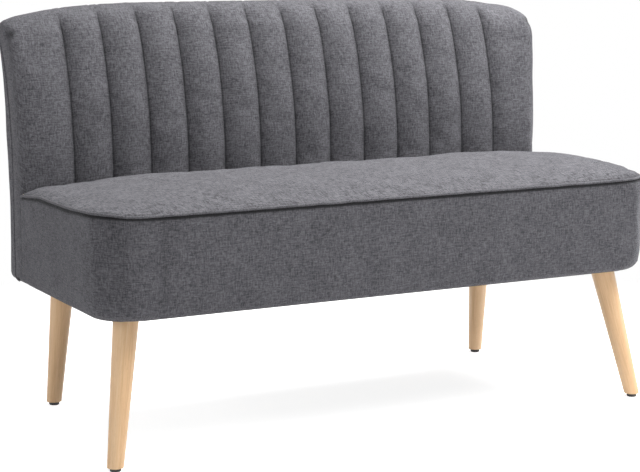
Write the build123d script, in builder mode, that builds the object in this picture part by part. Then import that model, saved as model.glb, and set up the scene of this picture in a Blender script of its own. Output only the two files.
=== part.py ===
from build123d import *
import os
from math import asin, cos, degrees, radians, sin, sqrt, tan

# An armless two-seater sofa: an upholstered seat box bolted to a channel-stitched back, on four splayed
# wooden legs. +Z is up, the sofa faces -Y, and the origin is on the floor under the middle of the sofa.
# All lengths are in millimetres and all angles in degrees.

os.makedirs("parts", exist_ok=True)

# Overall sizes
overall_width = 1170.0
overall_depth = 546.1
overall_height = 783.6
underside_height = 261.0

# Clearances and cuts
soft_gap = 0.3
drill_gap = 0.15
cut_overrun = 20.0

# Fabrics
cover_thickness = 2.0
dust_cover_thickness = 0.8
dust_cover_inset = 17.0
piping_radius = 2.6

# Seat box, seen from outside
seat_seam_height = 443.0
seat_corner_radius = 85.0
border_bulge = 4.0
border_roll_radius = 20.0
border_flange = 34.0
seat_crown_rise = 17.0
seat_rear_rise = 15.0
seat_edge_rise = 3.0

# Seat frame and suspension
rail_inset = 24.0
rail_thickness = 22.0
rail_height = 80.0
corner_block_size = 120.0
brace_height = 56.0
webbing_width = 60.0
webbing_thickness = 1.6
webbing_lap = 18.0
webbing_count = 7
cross_webbing_count = 3
cloth_thickness = 1.5
cloth_inset = 28.0

# Back, seen from outside
back_end_setback = 5.0
back_depth = 83.0
back_lean_reach = 42.1
channel_count = 12
end_panel_width = 108.4
channel_depth = 9.0
channel_foot_height = 432.0
channel_foot_run = 14.0
lean_start_height = 470.0
front_lean_radius = 696.0
rear_lean_radius = 1200.0
crest_radius = 80.0
crest_rear_radius = 16.0
crest_rear_angle = 75.0
crest_level_half_width = 300.0
crest_end_fall = 31.0
front_edge_radius = 22.0
core_edge_radius = 10.0
rear_edge_radius = 20.0
back_roll_radius = 16.0
back_flange = 19.0
back_dust_cover_inset = 13.0
piping_tuck_angle = 60.0
side_wrap = 38.0
wrap_turn_height = 640.0

# Back frame
back_foam_thickness = 30.0
board_thickness = 3.0
post_thickness = 25.0
post_inset = 25.0
frame_top_height = 700.0
top_rail_height = 60.0
lumbar_rail_height = 40.0
lumbar_rail_level = 560.0
seat_rail_height = 30.0
bolt_rail_height = 72.0
bottom_rail_height = 27.0
stud_thickness = 22.0

# Legs and their fixings
leg_top_diameter = 46.0
leg_foot_diameter = 29.0
front_leg_side_inset = 76.0
front_leg_end_inset = 80.0
front_leg_side_splay = 10.1
front_leg_end_splay = 11.3
rear_leg_side_inset = 106.0
rear_leg_end_inset = 69.1
rear_leg_side_splay = 2.9
rear_leg_end_splay = 7.5
glide_diameter = 20.0
glide_height = 7.0
glide_chamfer = 1.2
nail_cover = 3.0
nail_diameter = 3.0
nail_length = 24.0
leg_bolt_diameter = 8.0
leg_bolt_grip = 42.0
leg_bolt_tail = 7.0
leg_nut_seat = 21.0
nut_barrel_diameter = 10.0
nut_barrel_length = 10.0
nut_flange_diameter = 20.0
nut_flange_thickness = 1.6

# Bolts that join the back to the seat
back_bolt_diameter = 8.0
back_bolt_head_diameter = 14.0
back_bolt_head_height = 5.3
back_bolt_height = 320.0
back_bolt_spacing = 240.0
back_bolt_count = 4
back_bolt_tail = 6.0
washer_diameter = 24.0
washer_thickness = 2.0

# Shares, chosen by hand
crown_fade_power_share = 4
crown_fade_share = 0.94
quarter_turn_shares = (0.0, 0.5, 1.0)
side_edge_shares = (0.0, 0.3, 0.6, 1.0)
border_bulge_power_share = 5
border_wall_shares = (0.0, 0.3, 0.7, 1.0)
corner_turn_shares = (0.0, 0.35, 0.7, 1.0)
seat_span_shares = (-1.0, -0.6, 0.6, 1.0)
crest_span_shares = (0.0, 0.34, 0.67, 1.0)
channel_shares = ((0.0, 0.0), (0.18, 0.66), (0.38, 1.0), (0.62, 1.0), (0.82, 0.66), (1.0, 0.0))
end_panel_shares = ((0.0, 0.0), (0.18, 0.66), (0.38, 1.0), (1.0, 1.0))
channel_foot_share = 0.96
edge_fade_shares = (1.0, 0.9, 0.7, 0.5, 0.3, 0.2)
crest_bulge_shares = (1.0, 1.0, 1.0, 1.0, 1.0, 0.5)
crest_edge_share = 0.4
rear_top_edge_share = 0.6

# Places worked out from the sizes above
half_seat = overall_width / 2
half_back = half_seat - back_end_setback
channel_pitch = 2 * (half_back - end_panel_width) / channel_count
front_y = -overall_depth / 2
seat_depth = overall_depth - back_lean_reach - back_depth - channel_depth - soft_gap
liner = cover_thickness + soft_gap
seat_rear_y = front_y + seat_depth
back_face_y = seat_rear_y + soft_gap
valley_y = back_face_y + channel_depth
back_rear_y = valley_y + back_depth
wrap_y = valley_y + side_wrap
cover_bottom = underside_height + dust_cover_thickness + soft_gap
frame_bottom = cover_bottom + liner
rail_top = frame_bottom + rail_height
foam_bottom = rail_top + 2 * webbing_thickness + cloth_thickness + soft_gap
crest_end_radius = (
    (half_back - crest_level_half_width) ** 2 + crest_end_fall**2
) / (2 * crest_end_fall)


def save(piece, name):
    """Label one finished piece and write it."""
    piece.label = name
    export_step(piece, f"parts/{name}.step")


def mirrored(piece):
    """The same piece for the other side of the sofa."""
    return piece.mirror(Plane.YZ)


def arc_drop(radius, reach):
    """How far an arc of one radius has turned away at a distance from where it starts."""
    reach = min(max(reach, 0.0), radius)
    return radius - sqrt(radius * radius - reach * reach)


def turn_reach(radius, share):
    """Distance covered by a share of a quarter turn of one radius."""
    return radius * sin(radians(90 * share))


# Seat box: outer forms


def seat_plan(level, inset, rear_inset):
    """Plan of the seat at one level, drawn in from its widest line."""
    depth = seat_depth - inset - rear_inset
    with BuildSketch(Plane.XY.offset(level)) as plan:
        with Locations((0, front_y + inset + depth / 2)):
            Rectangle(overall_width - 2 * inset, depth)
        fillet(plan.vertices().group_by(Axis.Y)[0], seat_corner_radius - inset)
    return plan.sketch


def border_roll(inset):
    """Sections of the border's rounded lower edge, for a surface inset from the fabric's face."""
    radius = border_roll_radius - inset
    sections = []
    for share in quarter_turn_shares:
        level = cover_bottom + inset + radius - radius * cos(radians(90 * share))
        drawn_in = border_bulge + inset + radius - turn_reach(radius, share)
        sections.append(seat_plan(level, drawn_in, inset))
    return sections


def border_wall(inset):
    """Sections of the border from its lower roll to the seam, widest halfway up."""
    wall_low = cover_bottom + border_roll_radius
    sections = []
    for share in border_wall_shares:
        level = wall_low + (seat_seam_height - wall_low) * share
        drawn_in = inset + border_bulge * abs(2 * share - 1) ** border_bulge_power_share
        sections.append(seat_plan(level, drawn_in, inset))
    return sections


def crown_section(x, inset, low):
    """Upright section of the crowned seat top at one place along its width."""
    half = half_seat - border_bulge - inset
    radius = seat_corner_radius - border_bulge - inset
    front = front_y + border_bulge + inset + arc_drop(radius, abs(x) - half + radius)
    rear = seat_rear_y - inset
    fade = 1 - crown_fade_share * min(abs(x) / half, 1) ** crown_fade_power_share
    edge = seat_seam_height + seat_edge_rise - inset
    rear_edge = edge + seat_rear_rise * fade
    crown = (edge + rear_edge) / 2 + seat_crown_rise * fade
    with BuildSketch(Plane.YZ.offset(x)) as section:
        with BuildLine():
            Polyline((front, edge), (front, low), (rear, low), (rear, rear_edge))
            ThreePointArc((front, edge), ((front + rear) / 2, crown), (rear, rear_edge))
        make_face()
    return section.sketch


def crown_lofts(inset, low):
    """Groups of sections that make the crowned seat top: a long span and a rounded end on each side."""
    radius = seat_corner_radius - border_bulge - inset
    straight = half_seat - border_bulge - inset - radius
    groups = [[crown_section(straight * share, inset, low) for share in seat_span_shares]]
    for side in (-1, 1):
        stations = [straight + turn_reach(radius, share) for share in corner_turn_shares]
        groups.append([crown_section(side * station, inset, low) for station in stations])
    return groups


def seam_tube(radius, tail):
    """A tube along the seam round the seat top, running on past its rear ends by tail."""
    half = half_seat - border_bulge
    front = front_y + border_bulge
    rear = seat_rear_y + tail
    corners = ((-half, rear), (-half, front), (half, front), (half, rear))
    with BuildPart() as tube:
        with BuildLine(Plane.XY.offset(seat_seam_height)) as path:
            FilletPolyline(*corners, radius=seat_corner_radius - border_bulge)
        with BuildSketch(Plane(origin=path.line @ 0, z_dir=path.line % 0)):
            Circle(radius)
        sweep()
    return tube.part


seam_groove = seam_tube(piping_radius + soft_gap, cut_overrun)

save(seam_tube(piping_radius, 0), "seat_piping")

with BuildPart() as seat_top_cover:
    for group in crown_lofts(0, seat_seam_height):
        loft(sections=group, ruled=True)
    for group in crown_lofts(cover_thickness, seat_seam_height - cut_overrun):
        loft(sections=group, ruled=True, mode=Mode.SUBTRACT)
    add(seam_groove, mode=Mode.SUBTRACT)
save(seat_top_cover.part, "seat_top_cover")


# Bolt places, and the drills that make their holes


back_bolt_places = [
    (back_bolt_spacing * (index - (back_bolt_count - 1) / 2), 0) for index in range(back_bolt_count)
]
seat_rail_front_y = seat_rear_y - liner - rail_thickness
bolt_rail_rear_y = back_face_y + liner + rail_thickness


def back_bolt_rods(diameter, start_y, length):
    """Round rods along the back bolts' axes, from one place along the depth."""
    with BuildPart() as rods:
        with BuildSketch(Plane.XZ.offset(-start_y)):
            with Locations((0, back_bolt_height)):
                with Locations(*back_bolt_places):
                    Circle(diameter / 2)
        extrude(amount=-length)
    return rods.part


def leg_plane(x, y, side_splay, end_splay):
    """Plane at the top of a right-hand leg, square to its axis, which runs up into the frame."""
    return Plane(
        origin=(x, y, underside_height),
        z_dir=(-tan(radians(side_splay)), -tan(radians(end_splay)), 1),
    )


front_leg_plane = leg_plane(
    half_seat - front_leg_side_inset,
    front_y + front_leg_end_inset,
    front_leg_side_splay,
    -front_leg_end_splay,
)
rear_leg_plane = leg_plane(
    half_seat - rear_leg_side_inset,
    overall_depth / 2 - rear_leg_end_inset,
    rear_leg_side_splay,
    rear_leg_end_splay,
)


def axis_rod(plane, diameter, start, end):
    """A round rod along a leg's axis, between two distances from the leg's top."""
    with BuildPart() as rod:
        with BuildSketch(plane.offset(start)):
            Circle(diameter / 2)
        extrude(amount=end - start)
    return rod.part


def leg_drill(plane):
    """What is cut from the wood over a leg: the nut's barrel hole and the pocket over its flange."""
    drill = nut_barrel_diameter + 2 * drill_gap
    pocket = nut_flange_diameter + 4 * drill_gap
    barrel = axis_rod(plane, drill, -cut_overrun, leg_nut_seat)
    return barrel + axis_rod(plane, pocket, leg_nut_seat, frame_top_height - seat_seam_height)


# Seat box: border cover, pads, foam and frame

with BuildPart() as seat_border_cover:
    loft(sections=border_roll(0), ruled=True)
    loft(sections=border_wall(0), ruled=True)
    loft(sections=border_roll(cover_thickness), ruled=True, mode=Mode.SUBTRACT)
    loft(sections=border_wall(cover_thickness), ruled=True, mode=Mode.SUBTRACT)
    opening = seat_plan(cover_bottom - cut_overrun, border_flange, border_flange)
    extrude(opening, amount=2 * cut_overrun, mode=Mode.SUBTRACT)
    add(seam_groove, mode=Mode.SUBTRACT)
    bolt_clearance = back_bolt_diameter + 4 * drill_gap
    add(back_bolt_rods(bolt_clearance, seat_rail_front_y, 2 * rail_thickness), mode=Mode.SUBTRACT)
save(seat_border_cover.part, "seat_border_cover")

frame_half = half_seat - rail_inset
frame_front_y = front_y + rail_inset
block_rear_y = frame_front_y + corner_block_size

with BuildPart() as border_pad:
    pad_low = cover_bottom + border_roll_radius
    extrude(seat_plan(pad_low, border_bulge + liner, liner), amount=rail_top - pad_low)
    core = seat_plan(pad_low, rail_inset - soft_gap, 0)
    extrude(core, amount=rail_top - pad_low, mode=Mode.SUBTRACT)


def pad_piece(left, right, front, rear):
    """The part of the border's padding inside one rectangle of the plan."""
    with BuildPart() as piece:
        add(border_pad.part)
        with BuildSketch(Plane.XY.offset(cover_bottom)):
            with Locations(((left + right) / 2, (front + rear) / 2)):
                Rectangle(right - left, rear - front)
        extrude(amount=rail_top - cover_bottom, mode=Mode.INTERSECT)
    return piece.part


pad_corner_x = half_seat - seat_corner_radius
pad_corner_y = front_y + seat_corner_radius
front_pad = pad_piece(-pad_corner_x, pad_corner_x, front_y, pad_corner_y)
corner_pad = pad_piece(pad_corner_x + soft_gap, half_seat, front_y, pad_corner_y)
side_pad = pad_piece(pad_corner_x, half_seat, pad_corner_y + soft_gap, seat_rear_y - liner)
save(front_pad, "seat_front_pad")
save(corner_pad, "seat_right_corner_pad")
save(mirrored(corner_pad), "seat_left_corner_pad")
save(side_pad, "seat_right_pad")
save(mirrored(side_pad), "seat_left_pad")

with BuildPart() as seat_foam:
    loft(sections=border_wall(liner), ruled=True)
    extrude(seat_plan(cover_bottom, 0, 0), amount=foam_bottom - cover_bottom, mode=Mode.SUBTRACT)
    for group in crown_lofts(liner, seat_seam_height):
        loft(sections=group, ruled=True)
    add(seam_groove, mode=Mode.SUBTRACT)
save(seat_foam.part, "seat_foam")


def plank(left, right, front, rear, low, high):
    """A square-edged board between six planes."""
    with BuildPart() as board:
        with BuildSketch(Plane.XY.offset(low)):
            with Locations(((left + right) / 2, (front + rear) / 2)):
                Rectangle(right - left, rear - front)
        extrude(amount=high - low)
    return board.part


block_inner_x = frame_half - corner_block_size
front_rail = plank(
    -block_inner_x, block_inner_x, frame_front_y, frame_front_y + rail_thickness, frame_bottom, rail_top
)
save(front_rail, "seat_front_rail")

side_rail = plank(
    frame_half - rail_thickness, frame_half, block_rear_y, seat_rail_front_y, frame_bottom, rail_top
)
save(side_rail, "seat_right_rail")
save(mirrored(side_rail), "seat_left_rail")

with BuildPart() as seat_rear_rail:
    add(plank(-frame_half, frame_half, seat_rail_front_y, seat_rear_y - liner, frame_bottom, rail_top))
    rail_hole = back_bolt_diameter + 2 * drill_gap
    add(back_bolt_rods(rail_hole, seat_rail_front_y, rail_thickness), mode=Mode.SUBTRACT)
save(seat_rear_rail.part, "seat_rear_rail")

brace = plank(
    -rail_thickness / 2,
    rail_thickness / 2,
    frame_front_y + rail_thickness,
    seat_rail_front_y,
    frame_bottom,
    frame_bottom + brace_height,
)
save(brace, "seat_centre_brace")

with BuildPart() as corner_block:
    with BuildSketch(Plane.XY.offset(frame_bottom)) as block_plan:
        with Locations((frame_half - corner_block_size / 2, frame_front_y + corner_block_size / 2)):
            Rectangle(corner_block_size, corner_block_size)
        outer_corner = block_plan.vertices().sort_by(Axis.Y)[:2].sort_by(Axis.X)[-1]
        fillet(outer_corner, seat_corner_radius - rail_inset)
    extrude(amount=rail_height)
    add(leg_drill(front_leg_plane), mode=Mode.SUBTRACT)
save(corner_block.part, "seat_right_corner_block")
save(mirrored(corner_block.part), "seat_left_corner_block")

# Seat box: webbing, cloth and dust cover

strap_front_y = frame_front_y + rail_thickness - webbing_lap
strap_rear_y = seat_rail_front_y + webbing_lap
strap_pitch = 2 * frame_half / webbing_count

with BuildPart() as webbing:
    with BuildSketch(Plane.XY.offset(rail_top)):
        with Locations((0, (strap_front_y + strap_rear_y) / 2)):
            with GridLocations(strap_pitch, 0, webbing_count, 1):
                Rectangle(webbing_width, strap_rear_y - strap_front_y)
    extrude(amount=webbing_thickness)
save(webbing.part, "seat_webbing")

cross_pitch = (seat_rail_front_y - frame_front_y - rail_thickness) / cross_webbing_count

with BuildPart() as cross_webbing:
    with BuildSketch(Plane.XY.offset(rail_top + webbing_thickness)):
        with Locations((0, (strap_front_y + strap_rear_y) / 2)):
            with GridLocations(0, cross_pitch, 1, cross_webbing_count):
                Rectangle(2 * (frame_half - rail_thickness + webbing_lap), webbing_width)
    extrude(amount=webbing_thickness)
save(cross_webbing.part, "seat_cross_webbing")

with BuildPart() as seat_platform_cloth:
    extrude(seat_plan(rail_top + 2 * webbing_thickness, cloth_inset, cloth_inset), amount=cloth_thickness)
save(seat_platform_cloth.part, "seat_platform_cloth")

leg_bolt_hole = leg_bolt_diameter + 8 * drill_gap

with BuildPart() as seat_dust_cover:
    extrude(seat_plan(underside_height, dust_cover_inset, dust_cover_inset), amount=dust_cover_thickness)
    drill = axis_rod(front_leg_plane, leg_bolt_hole, -cut_overrun, cut_overrun)
    add(drill, mode=Mode.SUBTRACT)
    add(mirrored(drill), mode=Mode.SUBTRACT)
save(seat_dust_cover.part, "seat_dust_cover")


# Back: outer forms. Points in these sections are given as (Y, Z).


def on_arc(centre, radius, angle):
    """Point on an arc that starts level in front of its centre and turns up and back."""
    return (centre[0] - radius * cos(radians(angle)), centre[1] + radius * sin(radians(angle)))


def crest_centres(x):
    """Centres of the lean, crest and rear edge arcs at one place, and the angle where the lean ends."""
    fall = arc_drop(crest_end_radius, abs(x) - crest_level_half_width)
    rear_z = overall_height - channel_depth - fall - crest_rear_radius
    reach = crest_radius - crest_rear_radius
    crest_z = rear_z - reach * sin(radians(crest_rear_angle))
    turn = degrees(asin((crest_z - lean_start_height) / (front_lean_radius - crest_radius)))
    lean = (valley_y + front_lean_radius, lean_start_height)
    crest = on_arc(lean, front_lean_radius - crest_radius, turn)
    return lean, crest, on_arc(crest, reach, crest_rear_angle), turn


def front_setback(x, inset):
    """How far the front has rounded away at one place near the back's side."""
    radius = core_edge_radius if inset else front_edge_radius
    return arc_drop(radius, abs(x) - half_back + inset + radius)


def rear_setback(x, inset):
    """How far the rear has rounded away at one place near the back's side."""
    return arc_drop(rear_edge_radius - inset, abs(x) - half_back + rear_edge_radius)


def back_low(x, inset):
    """Level of the back's underside at one place along its width."""
    rise = arc_drop(back_roll_radius - inset, abs(x) - half_back + back_roll_radius)
    return cover_bottom + inset + rise


def rear_seam_point(x, inset):
    """Where the channelled cover ends behind the crest."""
    rear = crest_centres(x)[2]
    setback = rear_setback(x, inset) * crest_edge_share
    return (rear[0] + crest_rear_radius - inset - setback, rear[1])


def smooth_arc(start, end, heading):
    """Draw an arc that leaves start along a heading, and return its heading at the end."""
    TangentArc(start, end, tangent=heading)
    chord = (Vector(*end) - Vector(*start)).normalized()
    turned = chord * (2 * Vector(*heading).dot(chord)) - Vector(*heading)
    return (turned.X, turned.Y)


def draw_front(x, inset, bulge):
    """Draw the front of the back from its foot, up and over the crest."""
    lean, crest, rear, turn = crest_centres(x)
    marks = (
        (lean, front_lean_radius, 0),
        (lean, front_lean_radius, turn / 2),
        (lean, front_lean_radius, turn),
        (crest, crest_radius, (turn + crest_rear_angle) / 2),
        (crest, crest_radius, crest_rear_angle),
        (rear, crest_rear_radius, (180 + crest_rear_angle) / 2),
    )
    setback = front_setback(x, inset)
    points = []
    for mark, fade, swell in zip(marks, edge_fade_shares, crest_bulge_shares):
        centre, radius, angle = mark
        points.append(on_arc(centre, radius - inset + bulge * swell - setback * fade, angle))
    foot_y = back_face_y + inset + setback
    foot_top = (
        valley_y + inset + setback - bulge * channel_foot_share,
        channel_foot_height + channel_foot_run,
    )
    Polyline((foot_y, back_low(x, inset)), (foot_y, channel_foot_height), foot_top, points[0])
    ThreePointArc(points[0], points[1], points[2])
    ThreePointArc(points[2], points[3], points[4])
    ThreePointArc(points[4], points[5], rear_seam_point(x, inset))
    return (foot_y, back_low(x, inset))


def draw_wrap(x):
    """Draw the line between the channelled cover and the outer cover, from the underside up."""
    radius = front_lean_radius - side_wrap
    turn = (wrap_y + arc_drop(radius, wrap_turn_height - lean_start_height), wrap_turn_height)
    Line((wrap_y, back_low(x, 0)), (wrap_y, lean_start_height))
    heading = smooth_arc((wrap_y, lean_start_height), turn, (0, 1))
    smooth_arc(turn, rear_seam_point(x, 0), heading)
    return (wrap_y, back_low(x, 0))


def draw_rear(x, inset):
    """Draw the rear of the back from the underside up to the rear seam."""
    setback = rear_setback(x, inset)
    rear = back_rear_y - inset - setback
    low = back_low(x, inset)
    roll = back_roll_radius - inset
    lean = arc_drop(rear_lean_radius, frame_top_height - lean_start_height)
    top = (back_rear_y + lean - inset - setback * rear_top_edge_share, frame_top_height)
    TangentArc((rear - roll, low), (rear, low + roll), tangent=(1, 0))
    Line((rear, low + roll), (rear, lean_start_height))
    heading = smooth_arc((rear, lean_start_height), top, (0, 1))
    smooth_arc(top, rear_seam_point(x, inset), heading)
    return (rear - roll, low)


def channel_section(x, bulge):
    """Section through the channelled part of the back, out to its channels."""
    with BuildSketch(Plane.YZ.offset(x)) as section:
        with BuildLine():
            Line(draw_front(x, 0, bulge), draw_wrap(x))
        make_face()
    return section.sketch


def outer_section(x):
    """Section through the part of the back under the plain outer cover."""
    with BuildSketch(Plane.YZ.offset(x)) as section:
        with BuildLine():
            Line(draw_wrap(x), draw_rear(x, 0))
        make_face()
    return section.sketch


def inner_section(x, inset):
    """Section through all that lies inside a surface inset from the two covers."""
    with BuildSketch(Plane.YZ.offset(x)) as section:
        with BuildLine():
            Line(draw_front(x, inset, 0), draw_rear(x, inset))
        make_face()
    return section.sketch


end_panel_start = channel_pitch * channel_count / 2
edge_start = half_back - front_edge_radius


def edge_places(inset):
    """Places across the rounded side edge."""
    radius = front_edge_radius - inset
    return [edge_start + turn_reach(radius, share) for share in side_edge_shares]


def span_places(start):
    """Places across the falling part of the crest, from one place to the side edge."""
    return [start + (edge_start - start) * share for share in crest_span_shares]


def half_groups(section):
    """Places grouped for lofting one half of the back: level middle, falling span and side edge."""
    places = [[0.0, crest_level_half_width], span_places(crest_level_half_width)]
    return [[section(x) for x in group] for group in places]


def inner_half(inset):
    """The right half of all that lies inside a surface inset from the covers."""
    with BuildPart() as half:
        for group in half_groups(lambda x: inner_section(x, inset)):
            loft(sections=group, ruled=True)
        loft(sections=[inner_section(x, inset) for x in edge_places(inset)], ruled=True)
    return half.part


# Piping round the back


def wrap_path():
    """Path of the piping down the right-hand side of the back, from under its edge to the rear seam."""
    low = back_low(half_back, 0)
    roll_centre = half_back - back_roll_radius
    radius = front_lean_radius - side_wrap
    turn_y = wrap_y + arc_drop(radius, wrap_turn_height - lean_start_height)
    tucked = (
        roll_centre + back_roll_radius * cos(radians(piping_tuck_angle)),
        wrap_y,
        low - back_roll_radius * sin(radians(piping_tuck_angle)),
    )
    with BuildLine() as path:
        under = TangentArc((half_back, wrap_y, low), tucked, tangent=(0, 0, -1))
        Line(under @ 0, (half_back, wrap_y, lean_start_height))
        first = TangentArc(
            (half_back, wrap_y, lean_start_height), (half_back, turn_y, wrap_turn_height), tangent=(0, 0, 1)
        )
        TangentArc(first @ 1, (half_back, *rear_seam_point(half_back, 0)), tangent=first % 1)
    return path.wire()


def rear_seam_spot(x):
    """Point on the rear seam at one place along the width."""
    return (x, *rear_seam_point(x, 0))


def rear_seam_path():
    """Path of the piping along the right half of the rear seam: a level run, its fall and its end."""
    with BuildLine() as path:
        level = Line(rear_seam_spot(0), rear_seam_spot(crest_level_half_width))
        fall = TangentArc(level @ 1, rear_seam_spot(edge_start), tangent=level % 1)
        TangentArc(fall @ 1, rear_seam_spot(half_back), tangent=fall % 1)
    return path.wire()


def tube_along(path, radius):
    """A round tube along a path."""
    with BuildPart() as tube:
        with BuildSketch(Plane(origin=path @ 0, z_dir=path % 0)):
            Circle(radius)
        sweep(path=path)
    return tube.part


def back_seam_tubes(radius):
    """Tubes along the rear seam and down both sides, joined by a ball at each corner."""
    with BuildPart() as tubes:
        add(tube_along(rear_seam_path(), radius))
        add(tube_along(wrap_path(), radius))
        with Locations(rear_seam_spot(half_back)):
            Sphere(radius)
        mirror(about=Plane.YZ)
    return tubes.part


back_groove = back_seam_tubes(piping_radius + 2 * soft_gap)
save(back_seam_tubes(piping_radius), "back_piping")

# Back: channelled front cover and plain outer cover

back_hollow = inner_half(cover_thickness)


def underside_opening():
    """Opening left in the back's covers on their underside."""
    low_y = back_face_y + back_flange
    high_y = back_rear_y - back_flange
    return plank(
        -half_back + back_flange,
        half_back - back_flange,
        low_y,
        high_y,
        cover_bottom - cut_overrun,
        cover_bottom + cut_overrun,
    )


with BuildPart() as back_channel_cover:
    for index in range(channel_count // 2):
        channel_start = index * channel_pitch
        spots = [(channel_start + channel_pitch * across, swell) for across, swell in channel_shares]
        loft(sections=[channel_section(x, channel_depth * swell) for x, swell in spots], ruled=True)
    panel_width = edge_start - end_panel_start
    spots = [(end_panel_start + panel_width * across, swell) for across, swell in end_panel_shares]
    loft(sections=[channel_section(x, channel_depth * swell) for x, swell in spots], ruled=True)
    loft(sections=[channel_section(x, channel_depth) for x in edge_places(0)], ruled=True)
    add(back_hollow, mode=Mode.SUBTRACT)
    mirror(about=Plane.YZ)
    add(underside_opening(), mode=Mode.SUBTRACT)
    add(back_groove, mode=Mode.SUBTRACT)
    add(back_bolt_rods(bolt_clearance, back_face_y - cut_overrun, 2 * cut_overrun), mode=Mode.SUBTRACT)
# Cutting the piping's groove can leave a thin loose strip behind the seam, which isn't part of a cover.
cover_pieces = back_channel_cover.part.solids().sort_by(SortBy.VOLUME)
save(cover_pieces[-1], "back_channel_cover")

with BuildPart() as back_outer_cover:
    for group in half_groups(outer_section):
        loft(sections=group, ruled=True)
    loft(sections=[outer_section(x) for x in edge_places(0)], ruled=True)
    add(back_hollow, mode=Mode.SUBTRACT)
    mirror(about=Plane.YZ)
    add(underside_opening(), mode=Mode.SUBTRACT)
    add(back_groove, mode=Mode.SUBTRACT)
    add(cover_pieces[-1], mode=Mode.SUBTRACT)
outer_pieces = back_outer_cover.part.solids().sort_by(SortBy.VOLUME)
save(outer_pieces[-1], "back_outer_cover")

# Back: foam and padding

back_filling = inner_half(liner)


def lean_curve(base_y, radius, low, high):
    """Draw a curve that stands upright to the lean's start and follows an arc above it."""
    start = (base_y + arc_drop(radius, low - lean_start_height), low)
    if low < lean_start_height:
        start = Line((base_y, low), (base_y, lean_start_height)) @ 1
    middle_z = (max(low, lean_start_height) + high) / 2
    middle = (base_y + arc_drop(radius, middle_z - lean_start_height), middle_z)
    end = (base_y + arc_drop(radius, high - lean_start_height), high)
    ThreePointArc(start, middle, end)


def core_point(offset, level):
    """Point on the curve a set distance behind the valleys of the channels."""
    return (valley_y + offset + arc_drop(front_lean_radius - offset, level - lean_start_height), level)


def rear_point(offset, level):
    """Point on the curve a set distance in front of the outer cover's face."""
    return (back_rear_y - offset + arc_drop(rear_lean_radius + offset, level - lean_start_height), level)


def core_curve(offset, low, high):
    """Draw the curve a set distance behind the valleys of the channels."""
    lean_curve(valley_y + offset, front_lean_radius - offset, low, high)


def rear_curve(offset, low, high):
    """Draw the curve a set distance in front of the outer cover's face."""
    lean_curve(back_rear_y - offset, rear_lean_radius + offset, low, high)


foam_low = channel_foot_height + soft_gap
hook_low = frame_top_height + soft_gap
region_front_y = back_face_y - cut_overrun
region_rear_y = back_rear_y + back_depth
region_top = overall_height + cut_overrun


def relief_section(x):
    """Square cut round the rear seam at one place along the width."""
    with BuildSketch(Plane.YZ.offset(x)) as section:
        with Locations(rear_seam_point(x, 0)):
            Rectangle(2 * piping_radius + 4 * liner, 2 * piping_radius + 4 * liner)
    return section.sketch


with BuildPart() as back_foam:
    add(back_filling)
    for group in half_groups(relief_section):
        loft(sections=group, ruled=True, mode=Mode.SUBTRACT)
    relief_end = [relief_section(x) for x in edge_places(0)]
    loft(sections=relief_end, ruled=True, mode=Mode.SUBTRACT)
    add(tube_along(wrap_path(), piping_radius + 2 * soft_gap), mode=Mode.SUBTRACT)
    with BuildSketch(Plane.YZ):
        with BuildLine():
            core_curve(back_foam_thickness, foam_low, hook_low)
            Polyline(
                core_point(back_foam_thickness, hook_low),
                (region_rear_y, hook_low),
                (region_rear_y, region_top),
                (region_front_y, region_top),
                (region_front_y, foam_low),
                core_point(back_foam_thickness, foam_low),
            )
        make_face()
    extrude(amount=half_back, mode=Mode.INTERSECT)
    mirror(about=Plane.YZ)
save(back_foam.part, "back_foam")

frame_half_back = half_back - post_inset
pad_front = back_foam_thickness + soft_gap

with BuildPart() as back_side_pad:
    pad_low = cover_bottom + back_roll_radius + liner
    pad_rear = liner + rear_edge_radius + liner
    foot_y = back_face_y + liner + core_edge_radius
    with BuildSketch(Plane.YZ.offset(frame_half_back + soft_gap)):
        with BuildLine():
            core_curve(pad_front, channel_foot_height, frame_top_height)
            rear_curve(pad_rear, pad_low, frame_top_height)
            Line(core_point(pad_front, frame_top_height), rear_point(pad_rear, frame_top_height))
            Polyline(
                core_point(pad_front, channel_foot_height),
                (foot_y, channel_foot_height),
                (foot_y, pad_low),
                rear_point(pad_rear, pad_low),
            )
        make_face()
    extrude(amount=post_inset - liner - soft_gap)
    add(back_groove, mode=Mode.SUBTRACT)
save(back_side_pad.part, "back_right_pad")
save(mirrored(back_side_pad.part), "back_left_pad")

# Back: wooden frame

rail_half = frame_half_back - post_thickness
foot_front_y = back_face_y + liner
core_front = back_foam_thickness + board_thickness
rail_rear = core_front + rail_thickness
core_rear = liner + board_thickness
bottom_rail_top = frame_bottom + bottom_rail_height
top_rail_low = frame_top_height - top_rail_height


def between_curves(front, rear, left, right, low, high):
    """A piece of the back between a core curve and a rear curve."""
    with BuildPart() as piece:
        with BuildSketch(Plane.YZ.offset(left)):
            with BuildLine():
                core_curve(front, low, high)
                rear_curve(rear, low, high)
                Line(core_point(front, low), rear_point(rear, low))
                Line(core_point(front, high), rear_point(rear, high))
            make_face()
        extrude(amount=right - left)
    return piece.part


def between_core_curves(front, rear, half_width, low, high):
    """A piece of the back between two core curves, the same to both sides of the middle."""
    with BuildPart() as piece:
        with BuildSketch(Plane.YZ.offset(-half_width)):
            with BuildLine():
                core_curve(front, low, high)
                core_curve(rear, low, high)
                Line(core_point(front, low), core_point(rear, low))
                Line(core_point(front, high), core_point(rear, high))
            make_face()
        extrude(amount=2 * half_width)
    return piece.part


front_board = between_core_curves(
    back_foam_thickness, core_front, frame_half_back, channel_foot_height, frame_top_height
)
save(front_board, "back_front_board")

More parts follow.
